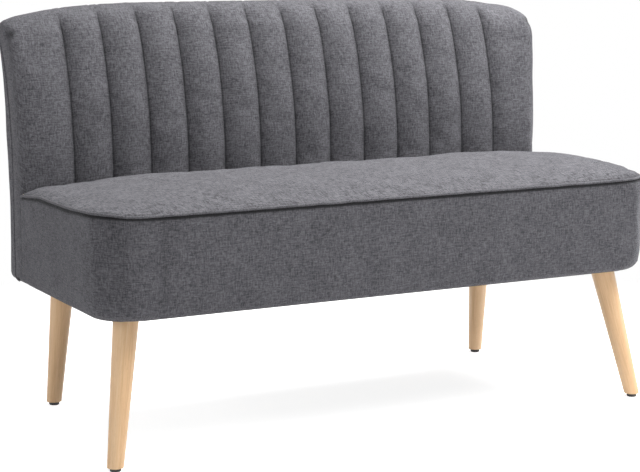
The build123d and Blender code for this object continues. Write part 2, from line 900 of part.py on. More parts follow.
with BuildPart() as back_rear_board:
    board_low = cover_bottom + back_roll_radius
    with BuildSketch(Plane.YZ.offset(-frame_half_back)):
        with BuildLine():
            rear_curve(core_rear, board_low, frame_top_height)
            rear_curve(liner, board_low, frame_top_height)
            Line(rear_point(core_rear, board_low), rear_point(liner, board_low))
            Line(rear_point(core_rear, frame_top_height), rear_point(liner, frame_top_height))
        make_face()
    extrude(amount=2 * frame_half_back)
save(back_rear_board.part, "back_rear_board")

with BuildPart() as back_post:
    with BuildSketch(Plane.YZ.offset(rail_half)):
        with BuildLine():
            core_curve(core_front, channel_foot_height, frame_top_height)
            rear_curve(core_rear, bottom_rail_top, frame_top_height)
            Line(core_point(core_front, frame_top_height), rear_point(core_rear, frame_top_height))
            Polyline(
                core_point(core_front, channel_foot_height),
                (foot_front_y, channel_foot_height),
                (foot_front_y, bottom_rail_top),
                rear_point(core_rear, bottom_rail_top),
            )
        make_face()
    extrude(amount=post_thickness)
save(back_post.part, "back_right_post")
save(mirrored(back_post.part), "back_left_post")

top_rail = between_curves(core_front, core_rear, -rail_half, rail_half, top_rail_low, frame_top_height)
save(top_rail, "back_top_rail")

lumbar_top = lumbar_rail_level + lumbar_rail_height
lumbar_rail = between_core_curves(core_front, rail_rear, rail_half, lumbar_rail_level, lumbar_top)
save(lumbar_rail, "back_lumbar_rail")

stud = between_curves(
    rail_rear, core_rear, -stud_thickness / 2, stud_thickness / 2, bottom_rail_top, top_rail_low
)
save(stud, "back_centre_stud")

seat_level_rail = plank(
    -rail_half,
    rail_half,
    foot_front_y,
    valley_y + rail_rear,
    channel_foot_height - seat_rail_height,
    channel_foot_height,
)
save(seat_level_rail, "back_foot_rail")

with BuildPart() as back_bolt_rail:
    add(
        plank(
            -rail_half,
            rail_half,
            foot_front_y,
            bolt_rail_rear_y,
            bottom_rail_top,
            bottom_rail_top + bolt_rail_height,
        )
    )
    nut_hole = nut_barrel_diameter + 2 * drill_gap
    add(back_bolt_rods(nut_hole, foot_front_y, rail_thickness), mode=Mode.SUBTRACT)
save(back_bolt_rail.part, "back_bolt_rail")

with BuildPart() as back_bottom_rail:
    rail_rear_y = back_rear_y - core_rear
    add(
        plank(
            -frame_half_back, frame_half_back, foot_front_y, rail_rear_y, frame_bottom, bottom_rail_top
        )
    )
    rear_edges = back_bottom_rail.edges().filter_by(Axis.X).group_by(Axis.Y)[-1]
    fillet(rear_edges.sort_by(Axis.Z)[0], back_roll_radius - core_rear)
    rear_drill = leg_drill(rear_leg_plane)
    add(rear_drill, mode=Mode.SUBTRACT)
    add(mirrored(rear_drill), mode=Mode.SUBTRACT)
save(back_bottom_rail.part, "back_bottom_rail")

with BuildPart() as back_dust_cover:
    cloth_half = half_back - back_dust_cover_inset
    add(
        plank(
            -cloth_half,
            cloth_half,
            back_face_y + back_dust_cover_inset,
            back_rear_y - back_dust_cover_inset,
            underside_height,
            underside_height + dust_cover_thickness,
        )
    )
    drill = axis_rod(rear_leg_plane, leg_bolt_hole, -cut_overrun, cut_overrun)
    add(drill, mode=Mode.SUBTRACT)
    add(mirrored(drill), mode=Mode.SUBTRACT)
save(back_dust_cover.part, "back_dust_cover")

# Bolts that join the back to the seat

head_front_y = seat_rail_front_y - washer_thickness
nut_rear_y = bolt_rail_rear_y + nut_flange_thickness
shank_length = nut_rear_y + back_bolt_tail - head_front_y

with BuildPart() as back_bolts:
    add(back_bolt_rods(back_bolt_diameter, head_front_y, shank_length))
    with BuildSketch(Plane.XZ.offset(-head_front_y)):
        with Locations((0, back_bolt_height)):
            with Locations(*back_bolt_places):
                RegularPolygon(back_bolt_head_diameter / 2, 6)
    extrude(amount=back_bolt_head_height)
save(back_bolts.part, "back_bolts")

with BuildPart() as back_bolt_washers:
    add(back_bolt_rods(washer_diameter, head_front_y, washer_thickness))
    washer_hole = back_bolt_diameter + 2 * drill_gap
    add(back_bolt_rods(washer_hole, head_front_y, washer_thickness), mode=Mode.SUBTRACT)
save(back_bolt_washers.part, "back_bolt_washers")

with BuildPart() as back_bolt_nuts:
    add(back_bolt_rods(nut_flange_diameter, bolt_rail_rear_y, nut_flange_thickness))
    add(back_bolt_rods(nut_barrel_diameter, bolt_rail_rear_y - nut_barrel_length, nut_barrel_length))
    nut_start_y = bolt_rail_rear_y - nut_barrel_length
    bore_length = nut_barrel_length + nut_flange_thickness
    add(back_bolt_rods(washer_hole, nut_start_y, bore_length), mode=Mode.SUBTRACT)
save(back_bolt_nuts.part, "back_bolt_nuts")

# Legs, glides and leg fixings. Those on the left mirror those on the right.


def leg_axis_point(plane, level):
    """Point on a leg's axis at one level."""
    reach = (level - underside_height) / plane.z_dir.Z
    return plane.origin + plane.z_dir * reach


def nail_solid(plane):
    """The pin that holds a glide, moulded into it and driven up into the leg."""
    foot = leg_axis_point(plane, glide_height)
    with BuildPart() as nail:
        with BuildSketch(Plane.XY.offset(nail_cover)):
            with Locations((foot.X, foot.Y)):
                Circle(nail_diameter / 2)
        extrude(amount=nail_length)
    return nail.part


def leg_solid(plane):
    """One tapered leg, cut level at the top and at the glide, with its bolt and pin holes."""
    leg_length = underside_height / plane.z_dir.Z
    growth = (leg_top_diameter - leg_foot_diameter) / leg_length
    with BuildPart() as leg:
        with Locations(plane.offset(cut_overrun)):
            Cone(
                (leg_foot_diameter - growth * cut_overrun) / 2,
                (leg_top_diameter + growth * cut_overrun) / 2,
                leg_length + 2 * cut_overrun,
                align=(Align.CENTER, Align.CENTER, Align.MAX),
            )
        middle = leg_axis_point(plane, underside_height / 2)
        with BuildSketch(Plane.XY.offset(glide_height)):
            with Locations((middle.X, middle.Y)):
                Circle(underside_height)
        extrude(amount=underside_height - glide_height, mode=Mode.INTERSECT)
        bolt_hole = leg_bolt_diameter + 2 * drill_gap
        add(axis_rod(plane, bolt_hole, -leg_bolt_grip, cut_overrun), mode=Mode.SUBTRACT)
        add(nail_solid(plane), mode=Mode.SUBTRACT)
    return leg.part


def glide_solid(plane):
    """One foot glide with a bevelled edge, closed round the foot of its pin."""
    foot = leg_axis_point(plane, glide_height)
    with BuildPart() as glide:
        with BuildSketch(Plane.XY):
            with Locations((foot.X, foot.Y)):
                Circle(glide_diameter / 2)
        extrude(amount=glide_height)
        chamfer(glide.edges().group_by(Axis.Z)[0], glide_chamfer)
        add(nail_solid(plane), mode=Mode.SUBTRACT)
    return glide.part


def both_pairs(solid_at):
    """A group of four: one at each leg."""
    with BuildPart() as group:
        for plane in (front_leg_plane, rear_leg_plane):
            add(solid_at(plane))
        mirror(about=Plane.YZ)
    return group.part


def leg_bolt_solid(plane):
    """A leg's fixing bolt, set in the leg and running up through its nut."""
    return axis_rod(plane, leg_bolt_diameter, -leg_bolt_grip, leg_nut_seat + leg_bolt_tail)


def leg_nut_solid(plane):
    """A flanged nut let into the wood over a leg."""
    flange_top = leg_nut_seat + nut_flange_thickness
    barrel_low = leg_nut_seat - nut_barrel_length
    with BuildPart() as nut:
        add(axis_rod(plane, nut_flange_diameter, leg_nut_seat, flange_top))
        add(axis_rod(plane, nut_barrel_diameter, barrel_low, leg_nut_seat))
        bore = leg_bolt_diameter + 2 * drill_gap
        add(axis_rod(plane, bore, barrel_low, flange_top), mode=Mode.SUBTRACT)
    return nut.part


for place, plane in (("front", front_leg_plane), ("rear", rear_leg_plane)):
    leg = leg_solid(plane)
    save(leg, f"leg_{place}_right")
    save(mirrored(leg), f"leg_{place}_left")
    glide = glide_solid(plane)
    save(glide, f"glide_{place}_right")
    save(mirrored(glide), f"glide_{place}_left")

save(both_pairs(nail_solid), "glide_nails")
save(both_pairs(leg_bolt_solid), "leg_bolts")
save(both_pairs(leg_nut_solid), "leg_bolt_nuts")
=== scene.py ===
from math import asin, cos, degrees, exp, pi, radians, sin, sqrt, tan

import bmesh
import bpy
import numpy as np
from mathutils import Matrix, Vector


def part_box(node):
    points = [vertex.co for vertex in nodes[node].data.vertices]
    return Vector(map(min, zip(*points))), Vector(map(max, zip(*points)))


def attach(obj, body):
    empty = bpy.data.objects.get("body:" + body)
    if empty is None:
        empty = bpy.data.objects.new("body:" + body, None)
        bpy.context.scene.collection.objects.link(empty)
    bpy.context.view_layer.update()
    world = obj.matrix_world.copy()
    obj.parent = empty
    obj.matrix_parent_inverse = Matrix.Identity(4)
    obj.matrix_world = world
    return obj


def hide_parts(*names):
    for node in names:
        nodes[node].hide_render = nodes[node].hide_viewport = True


# Looks of the two-seater sofa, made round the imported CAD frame. Lengths are in metres, in the frame's axes.

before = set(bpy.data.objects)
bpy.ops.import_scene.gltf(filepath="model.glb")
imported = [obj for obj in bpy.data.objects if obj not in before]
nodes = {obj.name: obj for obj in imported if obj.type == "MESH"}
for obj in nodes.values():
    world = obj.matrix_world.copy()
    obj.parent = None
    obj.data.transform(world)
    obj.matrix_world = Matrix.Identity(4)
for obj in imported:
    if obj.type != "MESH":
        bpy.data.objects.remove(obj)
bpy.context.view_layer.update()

# Sizes shared with the CAD model
HALF_SEAT = 0.585
HALF_BACK = 0.580
FRONT_Y = -0.27305
SEAT_REAR_Y = 0.13865
BACK_FACE_Y = 0.13895
SEAM_Z = 0.443
COVER_BOTTOM = 0.2621
FOAM_LOW = 0.3494
SEAT_CORNER = 0.085
REAR_CORNER = 0.009
BORDER_BULGE = 0.004
BORDER_ROLL = 0.020
BORDER_FLANGE = 0.034
CROWN_RISE = 0.017
REAR_RISE = 0.011
PIPING_RADIUS = 0.0026
CHANNEL_COUNT = 12
CHANNEL_PITCH = 0.0786
CHANNEL_DEPTH = 0.009
VALLEY_Y = BACK_FACE_Y + CHANNEL_DEPTH
BACK_REAR_Y = VALLEY_Y + 0.083
WRAP_DEPTH = 0.038
WRAP_Y = VALLEY_Y + WRAP_DEPTH
FOOT_Z = 0.432
FOOT_RUN = 0.014
LEAN_Z = 0.470
LEAN_RADIUS = 0.696
REAR_LEAN_RADIUS = 1.200
CREST_RADIUS = 0.080
CREST_REAR_RADIUS = 0.016
CREST_REAR_ANGLE = 75.0
CREST_LEVEL = 0.300
CREST_FALL = 0.031
TOP_Z = 0.7836
FRONT_EDGE = 0.022
REAR_EDGE = 0.020
BACK_ROLL = 0.016
BACK_FLANGE = 0.019
WRAP_TURN_Z = 0.640
FRAME_TOP_Z = 0.700
END_PANEL_X = CHANNEL_PITCH * CHANNEL_COUNT / 2
CREST_END_RADIUS = ((HALF_BACK - CREST_LEVEL) ** 2 + CREST_FALL**2) / (2 * CREST_FALL)
SEAM_HALF = HALF_SEAT - BORDER_BULGE
SEAM_CORNER = SEAT_CORNER - BORDER_BULGE
SEAM_FRONT_Y = FRONT_Y + BORDER_BULGE
DUST_INSET = 0.017
BACK_DUST_CORNER = 0.002

# How the fabric lies on this one sofa
CLOTH_THICKNESS = 0.0014
CELL = 0.008
REAR_SAG = 0.0085
REAR_CURL = 0.002
REAR_CURL_LENGTH = 0.023
FRONT_LIFT = 0.0042
BOXING_SEAM_X = -HALF_SEAT + 0.115
BOXING_SEAM_WIDTH = 0.0016
BOXING_SEAM_DEPTH = 0.0012
FOAM_CLEARANCE = 0.0045
FOAM_CORNER_DROP = 0.012
SIDE_SEAM_LAG = 0.020
SIDE_PUFF = 0.0012
FOLD_WIDTH = 0.0022
CREST_TUCK = (0.577, 0.198, 0.731)
CREST_TUCK_SIZE = (0.009, 0.010, 0.012)
CREST_TUCK_DEPTH = 0.004
REAR_SETBACK_SHARE = 0.4


def arc_drop(radius, reach):
    """How far an arc has turned away at a distance from where it starts."""
    reach = min(max(reach, 0.0), radius)
    return radius - sqrt(radius * radius - reach * reach)


def smooth(value, low, high):
    """Smooth step from 0 at low to 1 at high."""
    share = min(max((value - low) / (high - low), 0.0), 1.0)
    return share * share * (3 - 2 * share)


def ripple(u, v, length, seed):
    """Soft seeded unevenness, about -1 to 1, that changes over a given length."""
    random = np.random.default_rng(seed)
    total = 0.0
    for _ in range(6):
        angle, phase, stretch = random.random(3)
        along = u * cos(2 * pi * angle) + v * sin(2 * pi * angle)
        total = total + np.sin(2 * pi * (along / (length * (0.7 + 0.8 * stretch)) + phase))
    return total / 3


# Meshes


def grid_piece(name, points, uv, painted_shade=None):
    """A mesh piece from a grid of points, with a UV map in metres for the weave and a per-point amount of
    painted shade along its creases.
    """
    rows, columns = points.shape[:2]
    index = np.arange(rows * columns).reshape(rows, columns)
    corners = [index[:-1, :-1], index[:-1, 1:], index[1:, 1:], index[1:, :-1]]
    faces = np.stack(corners, -1).reshape(-1, 4)
    mesh = bpy.data.meshes.new(name)
    mesh.from_pydata(points.reshape(-1, 3).tolist(), [], faces.tolist())
    layer = mesh.uv_layers.new(name="weave")
    layer.data.foreach_set("uv", uv.reshape(-1, 2)[faces.ravel()].astype(np.float32).ravel())
    # Painted shade: how much the weave material darkens the colour at each point, for seams, stitch lines and
    # folds
    marks = mesh.attributes.new("painted_shade", "FLOAT", "POINT")
    if painted_shade is not None:
        marks.data.foreach_set("value", painted_shade.ravel().astype(np.float32))
    work = bmesh.new()
    work.from_mesh(mesh)
    bmesh.ops.remove_doubles(work, verts=work.verts, dist=0.00002)
    bmesh.ops.dissolve_degenerate(work, edges=work.edges, dist=0.00002)
    work.to_mesh(mesh)
    work.free()
    mesh.shade_smooth()
    piece = bpy.data.objects.new(name, mesh)
    bpy.context.scene.collection.objects.link(piece)
    return piece


def along_rows(points):
    """Lengths along each row of a grid of points, measured from its start."""
    steps = np.linalg.norm(np.diff(points, axis=1), axis=2)
    return np.concatenate([np.zeros((len(points), 1)), np.cumsum(steps, axis=1)], axis=1)


def length_uv(points, middle_row):
    """UVs in metres: length along one row, and length up each column."""
    u = np.broadcast_to(along_rows(points)[middle_row], points.shape[:2])
    v = along_rows(points.transpose(1, 0, 2)).T
    return np.stack([u, v], -1)


def thicken(piece):
    """Give a cover panel the cloth's thickness, inwards."""
    modifier = piece.modifiers.new("thickness", "SOLIDIFY")
    modifier.thickness = CLOTH_THICKNESS
    modifier.offset = -1


def tube_piece(name, path, radius, sides=12):
    """A round tube along a list of points, closed at both ends."""
    path = np.array(path, float)
    heading = np.gradient(path, axis=0)
    heading /= np.linalg.norm(heading, axis=1)[:, None]
    side = np.cross(heading[0], (0.3, 0.2, 0.9))
    rings = []
    for point, ahead in zip(path, heading):
        side = side - ahead * side.dot(ahead)
        side /= np.linalg.norm(side)
        other = np.cross(ahead, side)
        turns = [2 * pi * step / sides for step in range(sides + 1)]
        rings.append([point + radius * (cos(turn) * side + sin(turn) * other) for turn in turns])
    rings.insert(0, [path[0]] * (sides + 1))
    rings.append([path[-1]] * (sides + 1))
    rings = np.array(rings)
    return grid_piece(name, rings, length_uv(rings, len(rings) // 2))


# Seat


# Stretches over which the piped seam's sag, curl and lift come in
NEAR_SIDE = (0.50, 0.578)
AT_SIDE = (0.560, 0.578)
TOWARDS_REAR = (SEAT_REAR_Y - 0.110, SEAT_REAR_Y - 0.002)
TOWARDS_FRONT = (0.10, 0.20)
TOWARDS_LEFT = (0.46, 0.54)
AT_FRONT = (0.245, 0.272)


def seam_level(x, y):
    """Level of the piped seam, lower at the seat's rear corners and a little higher at its front left."""
    side = smooth(abs(x), *NEAR_SIDE)
    sag = REAR_SAG * smooth(y, *TOWARDS_REAR) * side
    over = min(max((y - SEAT_REAR_Y + REAR_CURL_LENGTH) / REAR_CURL_LENGTH, 0.0), 1.0)
    sag += REAR_CURL * (1 - sqrt(1 - over**2)) * smooth(abs(x), *AT_SIDE)
    lift = FRONT_LIFT * side * smooth(-y, *TOWARDS_FRONT) * smooth(-x, *TOWARDS_LEFT)
    return SEAM_Z - sag + lift * (1 - 0.5 * smooth(-y, *AT_FRONT))


def plan_loop(inset, rear_inset):
    """Points round the seat's plan and their outward directions, from the middle of the rear and back."""
    half = HALF_SEAT - inset
    radius = max(SEAT_CORNER - inset, 0.001)
    front = FRONT_Y + inset
    rear = SEAT_REAR_Y - rear_inset
    rear_round = max(REAR_CORNER - inset, 0.001)
    rear_steps, round_steps, corner_steps = 12, 6, 18
    side_steps = round((SEAT_REAR_Y - FRONT_Y - SEAT_CORNER) / CELL)
    front_steps = round(2 * (HALF_SEAT - SEAT_CORNER) / CELL)
    points = []
    for n in range(rear_steps):
        points.append((-(half - rear_round) * n / rear_steps, rear, 0, 1))
    for n in range(round_steps):
        turn = pi / 2 * n / round_steps
        away = (-sin(turn), cos(turn))
        points.append((-half + rear_round * (1 + away[0]), rear - rear_round * (1 - away[1]), *away))
    start = rear - rear_round
    for n in range(side_steps):
        points.append((-half, start + (front + radius - start) * n / side_steps, -1, 0))
    for n in range(corner_steps):
        turn = pi / 2 * n / corner_steps
        centre = (-half + radius, front + radius)
        away = (-cos(turn), -sin(turn))
        points.append((centre[0] + radius * away[0], centre[1] + radius * away[1], *away))
    for n in range(front_steps // 2 + 1):
        points.append(((-half + radius) * (1 - 2 * n / front_steps), front, 0, -1))
    mirrored = [(-x, y, -away_x, away_y) for x, y, away_x, away_y in reversed(points[:-1])]
    return np.array(points + mirrored)


def border_levels():
    """Level, inset and rear inset of each row of the border, from the seam down and under."""
    wall_low = COVER_BOTTOM + BORDER_ROLL
    rows = [(SEAM_Z - 0.0012, 0.0055, 0.0042), (SEAM_Z - 0.0032, 0.0042, 0.0020)]
    groove = ((0.0046, 0.0036), (0.0060, 0.0016), (0.0085, 0.0004))
    swell = ((0.013, -0.0003), (0.020, -0.0006), (0.032, -0.0004))
    rows += [(SEAM_Z - drop, inset, 0) for drop, inset in groove + swell]
    count = 14
    for n in range(count + 1):
        share = 1 - n / count
        level = wall_low + (SEAM_Z - 0.045 - wall_low) * share
        whole = (level - wall_low) / (SEAM_Z - wall_low)
        rows.append((level, BORDER_BULGE * abs(2 * whole - 1) ** 5, 0))
    for n in range(1, 6):
        turn = pi / 2 * n / 5
        drawn_in = BORDER_BULGE + BORDER_ROLL * (1 - cos(turn))
        rows.append((wall_low - BORDER_ROLL * sin(turn), drawn_in, BORDER_ROLL * (1 - cos(turn))))
    rows.append((COVER_BOTTOM, BORDER_FLANGE, BORDER_FLANGE))
    return rows


def border_panel():
    """The boxed side panel of the seat, all round."""
    loops = []
    for level, inset, rear_inset in border_levels():
        loop = plan_loop(inset, rear_inset)
        loops.append(np.column_stack([loop[:, :2], np.full(len(loop), level)]))
    points = np.array(loops)
    uv = length_uv(points, len(points) // 2)
    away = plan_loop(0, 0)[:, 2:]
    u, v = uv[..., 0], uv[..., 1]
    shifts = np.array([seam_level(*spot) - SEAM_Z for spot in plan_loop(BORDER_BULGE, 0)[:, :2]])
    # Painted shade in the groove just under the piping
    groove_z, groove_half = SEAM_Z - 0.0050, 0.0020
    painted_shade = np.exp(-(np.maximum(np.abs(groove_z - points[..., 2]) - groove_half, 0) / 0.0010))
    rise = np.clip((points[..., 2] - SEAM_Z + 0.09) / 0.09, 0, 1)
    points[..., 2] += shifts * rise**1.5
    drop = SEAM_Z - points[..., 2]
    hold = np.clip((points[..., 2] - COVER_BOTTOM) / 0.03, 0, 1) * np.clip(drop / 0.02, 0, 1)
    waves = 0.0007 * ripple(u, 0.25 * v, 0.11, seed=3) + 0.0004 * ripple(u, v, 0.05, seed=4)
    tuck = 0.0006 * ripple(u, 0.1 * v, 0.018, seed=5) * np.exp(-drop / 0.012)
    rear_free = np.where(away[:, 1] > 0.5, 0.0, 1.0)
    shift = (waves * hold + tuck * np.clip(v / 0.004, 0, 1)) * rear_free - 0.0004 * hold
    at_front = points[..., 1] < FRONT_Y + 0.02
    joint = np.exp(-(((points[..., 0] - BOXING_SEAM_X) / BOXING_SEAM_WIDTH) ** 2)) * at_front
    shift = shift - BOXING_SEAM_DEPTH * joint * hold
    # Painted shade along the boxing seam, on top of its real dip
    painted_shade = np.maximum(painted_shade, 0.7 * joint * hold)
    points[..., 0] += shift * away[:, 0]
    points[..., 1] += shift * away[:, 1]
    return grid_piece("seat_border_panel", points, uv, painted_shade)


def seat_front(x):
    """Where the seam runs at the front of the seat, at one place along the width."""
    return SEAM_FRONT_Y + arc_drop(SEAM_CORNER, abs(x) - SEAM_HALF + SEAM_CORNER)


def seam_distance(x, y):
    """Distance in from the piped seam."""
    corner_x = abs(x) - SEAM_HALF + SEAM_CORNER
    corner_y = SEAM_FRONT_Y + SEAM_CORNER - y
    if corner_x > 0 and corner_y > 0:
        return SEAM_CORNER - sqrt(corner_x**2 + corner_y**2)
    return min(SEAM_HALF - abs(x), y - SEAM_FRONT_Y)


def crown_height(x, y):
    """Level of the crowned seat top."""
    front = seat_front(x)
    share = (y - front) / (SEAT_REAR_Y - front)
    away = max(seam_distance(x, y), 0.0)
    fuller = smooth(x, 0.2, 0.5)
    lift = (0.0048 + 0.0034 * fuller) * (1 - exp(-away / 0.007))
    across = 1 - min(abs(x) / SEAM_HALF, 1) ** (8 + 14 * fuller)
    crown = CROWN_RISE * across * (1 - abs(2 * share - 1) ** 2.3)
    rear = REAR_RISE * share * (1 - smooth(abs(x), 0.33, 0.545))
    drop = (seam_level(x, y) - SEAM_Z) * exp(-away / 0.035)
    rear_round = 0.010
    inner = min(max(SEAT_REAR_Y - y, 0.0) / rear_round, 1.0)
    return SEAM_Z + drop + (lift + rear + crown) * sqrt(1 - (1 - inner) ** 2)


def top_panel():
    """The crowned top panel of the seat."""
    straight = SEAM_HALF - SEAM_CORNER
    corner = [straight + SEAM_CORNER * sin(radians(90 * n / 14)) for n in range(1, 15)]
    count = round(2 * straight / CELL)
    xs = [-x for x in reversed(corner)] + list(np.linspace(-straight, straight, count + 1)) + corner
    near = np.array([0.0, 0.0015, 0.0035, 0.0065, 0.011])
    columns = []
    for x in xs:
        front = seat_front(x)
        depth = SEAT_REAR_Y - front
        inner = np.linspace(0.018, depth - 0.014, 44)
        far = depth - np.array([0.0095, 0.0065, 0.004, 0.002, 0.0007, 0.0])
        ys = front + np.concatenate([near, inner, far])
        columns.append([(x, y, crown_height(x, y)) for y in ys])
    points = np.array(columns).transpose(1, 0, 2)
    uv = points[..., :2].copy()
    points[..., 2] += 0.0008 * ripple(uv[..., 0], uv[..., 1], 0.16, seed=8)
    edge = np.exp(-(points[..., 1] - points[0, :, 1]) / 0.02)
    points[..., 2] += 0.0005 * edge * ripple(uv[..., 0], 0.2 * uv[..., 1], 0.024, seed=9)
    away = np.array([[seam_distance(x, y) for x, y, _ in row] for row in points])
    rear_gap = SEAT_REAR_Y - points[..., 1]
    # Painted shade just inside the piped seam and where the top panel meets the back
    painted_shade = np.maximum(np.exp(-np.abs(away - 0.002) / 0.002) * 0.6, np.exp(-rear_gap / 0.003))
    return grid_piece("seat_top_panel", points, uv, painted_shade)


def foam_block():
    """The seat's foam, under the top panel and inside the border."""
    loops = []
    side_rows = ((0.0, 0.0085), (0.0, 0.0062), (0.020, 0.0062), (0.075, 0.0062))
    for rise, inset in side_rows:
        loop = plan_loop(inset, inset)[:, :2]
        loops.append(np.column_stack([loop, np.full(len(loop), FOAM_LOW + rise)]))
    for inset in (0.0066, 0.0085, 0.012, 0.018, 0.028, 0.045, 0.07, 0.1, 0.13, 0.16, 0.19, 0.2035):
        loop = plan_loop(inset, inset)[:, :2]
        loops.append(np.array([(x, y, crown_height(x, y) - FOAM_CLEARANCE) for x, y in loop]))
    points = np.array(loops)
    side_near = np.clip((np.abs(points[..., 0]) - 0.545) / 0.03, 0, 1)
    rear_near = np.clip((points[..., 1] - SEAT_REAR_Y + 0.035) / 0.03, 0, 1)
    first = len(side_rows)
    points[first:, :, 2] -= FOAM_CORNER_DROP * side_near[first:] * rear_near[first:]
    points[0, :, :2] = points[-1, :, :2]
    return grid_piece("seat_foam_block", points, length_uv(points, 3))


def seat_piping_path():
    """Path of the piping round the seat top."""
    corner_start = SEAM_FRONT_Y + SEAM_CORNER
    path = [(-SEAM_HALF, y, SEAM_Z) for y in np.linspace(SEAT_REAR_Y, corner_start, 40)[:-1]]
    for n in range(20):
        turn = pi / 2 * n / 20
        x = -SEAM_HALF + SEAM_CORNER * (1 - cos(turn))
        path.append((x, SEAM_FRONT_Y + SEAM_CORNER * (1 - sin(turn)), SEAM_Z))
    path += [(x, SEAM_FRONT_Y, SEAM_Z) for x in np.linspace(-SEAM_HALF + SEAM_CORNER, 0, 70)]
    path += [(-x, y, z) for x, y, z in reversed(path[:-1])]
    waver = [0.0004 * float(ripple(x + y, x - y, 0.09, seed=12)) for x, y, _ in path]
    return [(x, y, seam_level(x, y) + more) for (x, y, _), more in zip(path, waver)]


# Back


def on_arc(centre, radius, angle):
    """Point on an arc that starts level in front of its centre and turns up and back."""
    return (centre[0] - radius * cos(radians(angle)), centre[1] + radius * sin(radians(angle)))


def crest_centres(x):
    """Centres of the lean, crest and rear edge arcs at one place, and the angle where the lean ends."""
    fall = arc_drop(CREST_END_RADIUS, abs(x) - CREST_LEVEL)
    rear_z = TOP_Z - CHANNEL_DEPTH - fall - CREST_REAR_RADIUS
    reach = CREST_RADIUS - CREST_REAR_RADIUS
    crest_z = rear_z - reach * sin(radians(CREST_REAR_ANGLE))
    turn = degrees(asin((crest_z - LEAN_Z) / (LEAN_RADIUS - CREST_RADIUS)))
    lean = (VALLEY_Y + LEAN_RADIUS, LEAN_Z)
    crest = on_arc(lean, LEAN_RADIUS - CREST_RADIUS, turn)
    return lean, crest, on_arc(crest, reach, CREST_REAR_ANGLE), turn


# Levels, and how far the cover's right end is drawn out there
RIGHT_END_OUT = ((0.27, 0.40, 0.47, 0.60, 0.68, 0.735), (0.0, -0.001, -0.002, 0.0, 0.005, 0.011))
RIGHT_END_AHEAD = 0.009
# Places along the back's half width, and how much fuller the crest is there
CREST_FILL = ((0.36, 0.46, 0.555, 0.58), (0.0, 0.0025, 0.0035, 0.001))


def settle_ends(points):
    """Draw the right end's top out and forwards, and fill out the crest near both ends, as in the photo."""
    x, z = points[..., 0], points[..., 2]
    reach = np.clip((np.abs(x) - 0.49) / 0.075, 0, 1) ** 2
    out = np.interp(z, *RIGHT_END_OUT)
    points[..., 0] = x + np.where(x > 0, out, 0.0) * reach
    ahead = np.clip((0.240 - points[..., 1]) / 0.03, 0, 1)
    high = np.clip((z - 0.62) / 0.10, 0, 1)
    points[..., 1] -= np.where(x > 0, RIGHT_END_AHEAD, 0.0) * reach * high * ahead
    fill = np.interp(np.abs(x), *CREST_FILL)
    points[..., 2] = z + fill * np.clip((z - 0.69) / 0.05, 0, 1)
    return points


def back_low(x):
    """Level of the back's underside at one place along its width."""
    return COVER_BOTTOM + arc_drop(BACK_ROLL, abs(x) - HALF_BACK + BACK_ROLL)


def rear_setback(x):
    """How far the rear seam stays in front of its line near the back's ends."""
    return REAR_SETBACK_SHARE * arc_drop(REAR_EDGE, abs(x) - HALF_BACK + REAR_EDGE)


def rear_seam(x):
    """Where the channelled cover ends behind the crest, as (Y, Z)."""
    rear = crest_centres(x)[2]
    return (rear[0] + CREST_REAR_RADIUS - rear_setback(x), rear[1])


def eased(low, high, count):
    """Even steps from low to high, without the last one."""
    return list(np.linspace(low, high, count, endpoint=False))


# Rows of the channelled cover: the stretch they are on, and their share of it
STRETCH_ROWS = {"foot": 8, "run": 3, "rise": 3, "lean": 30, "crest": 16}
FRONT_ROWS = [(stretch, share) for stretch, count in STRETCH_ROWS.items() for share in eased(0, 1, count)]
FRONT_ROWS += [("rear", share) for share in np.linspace(0, 1, 8)]

# Share of the front edge's rounding that is kept at a stretch's start, middle and end
LEAN_ROUNDING = {"left": (1.0, 0.85, 0.55), "right": (1.0, 0.55, 0.25)}
CREST_ROUNDING = {"left": (0.55, 0.3, 0.25), "right": (0.25, 0.22, 0.25)}
REAR_ROUNDING = 0.25


def stitch_distance(aside):
    """Distance to the nearest stitch line, at a distance from the back's middle."""
    return abs((aside / CHANNEL_PITCH + 0.5) % 1.0 - 0.5) * CHANNEL_PITCH


def flute_height(x):
    """Height of the channels above their stitch lines, from 0 to 1, at one place along the width."""
    place = abs(x)
    if place >= END_PANEL_X:
        across = (place - END_PANEL_X) / (0.5 * CHANNEL_PITCH) - 1
        across = min(across, 0.0)
    else:
        across = 2 * ((place / CHANNEL_PITCH) % 1.0) - 1
    fold = exp(-(1 - abs(across)) * 0.5 * CHANNEL_PITCH / FOLD_WIDTH)
    return (1 - abs(across) ** 2.5) * (1 - fold)


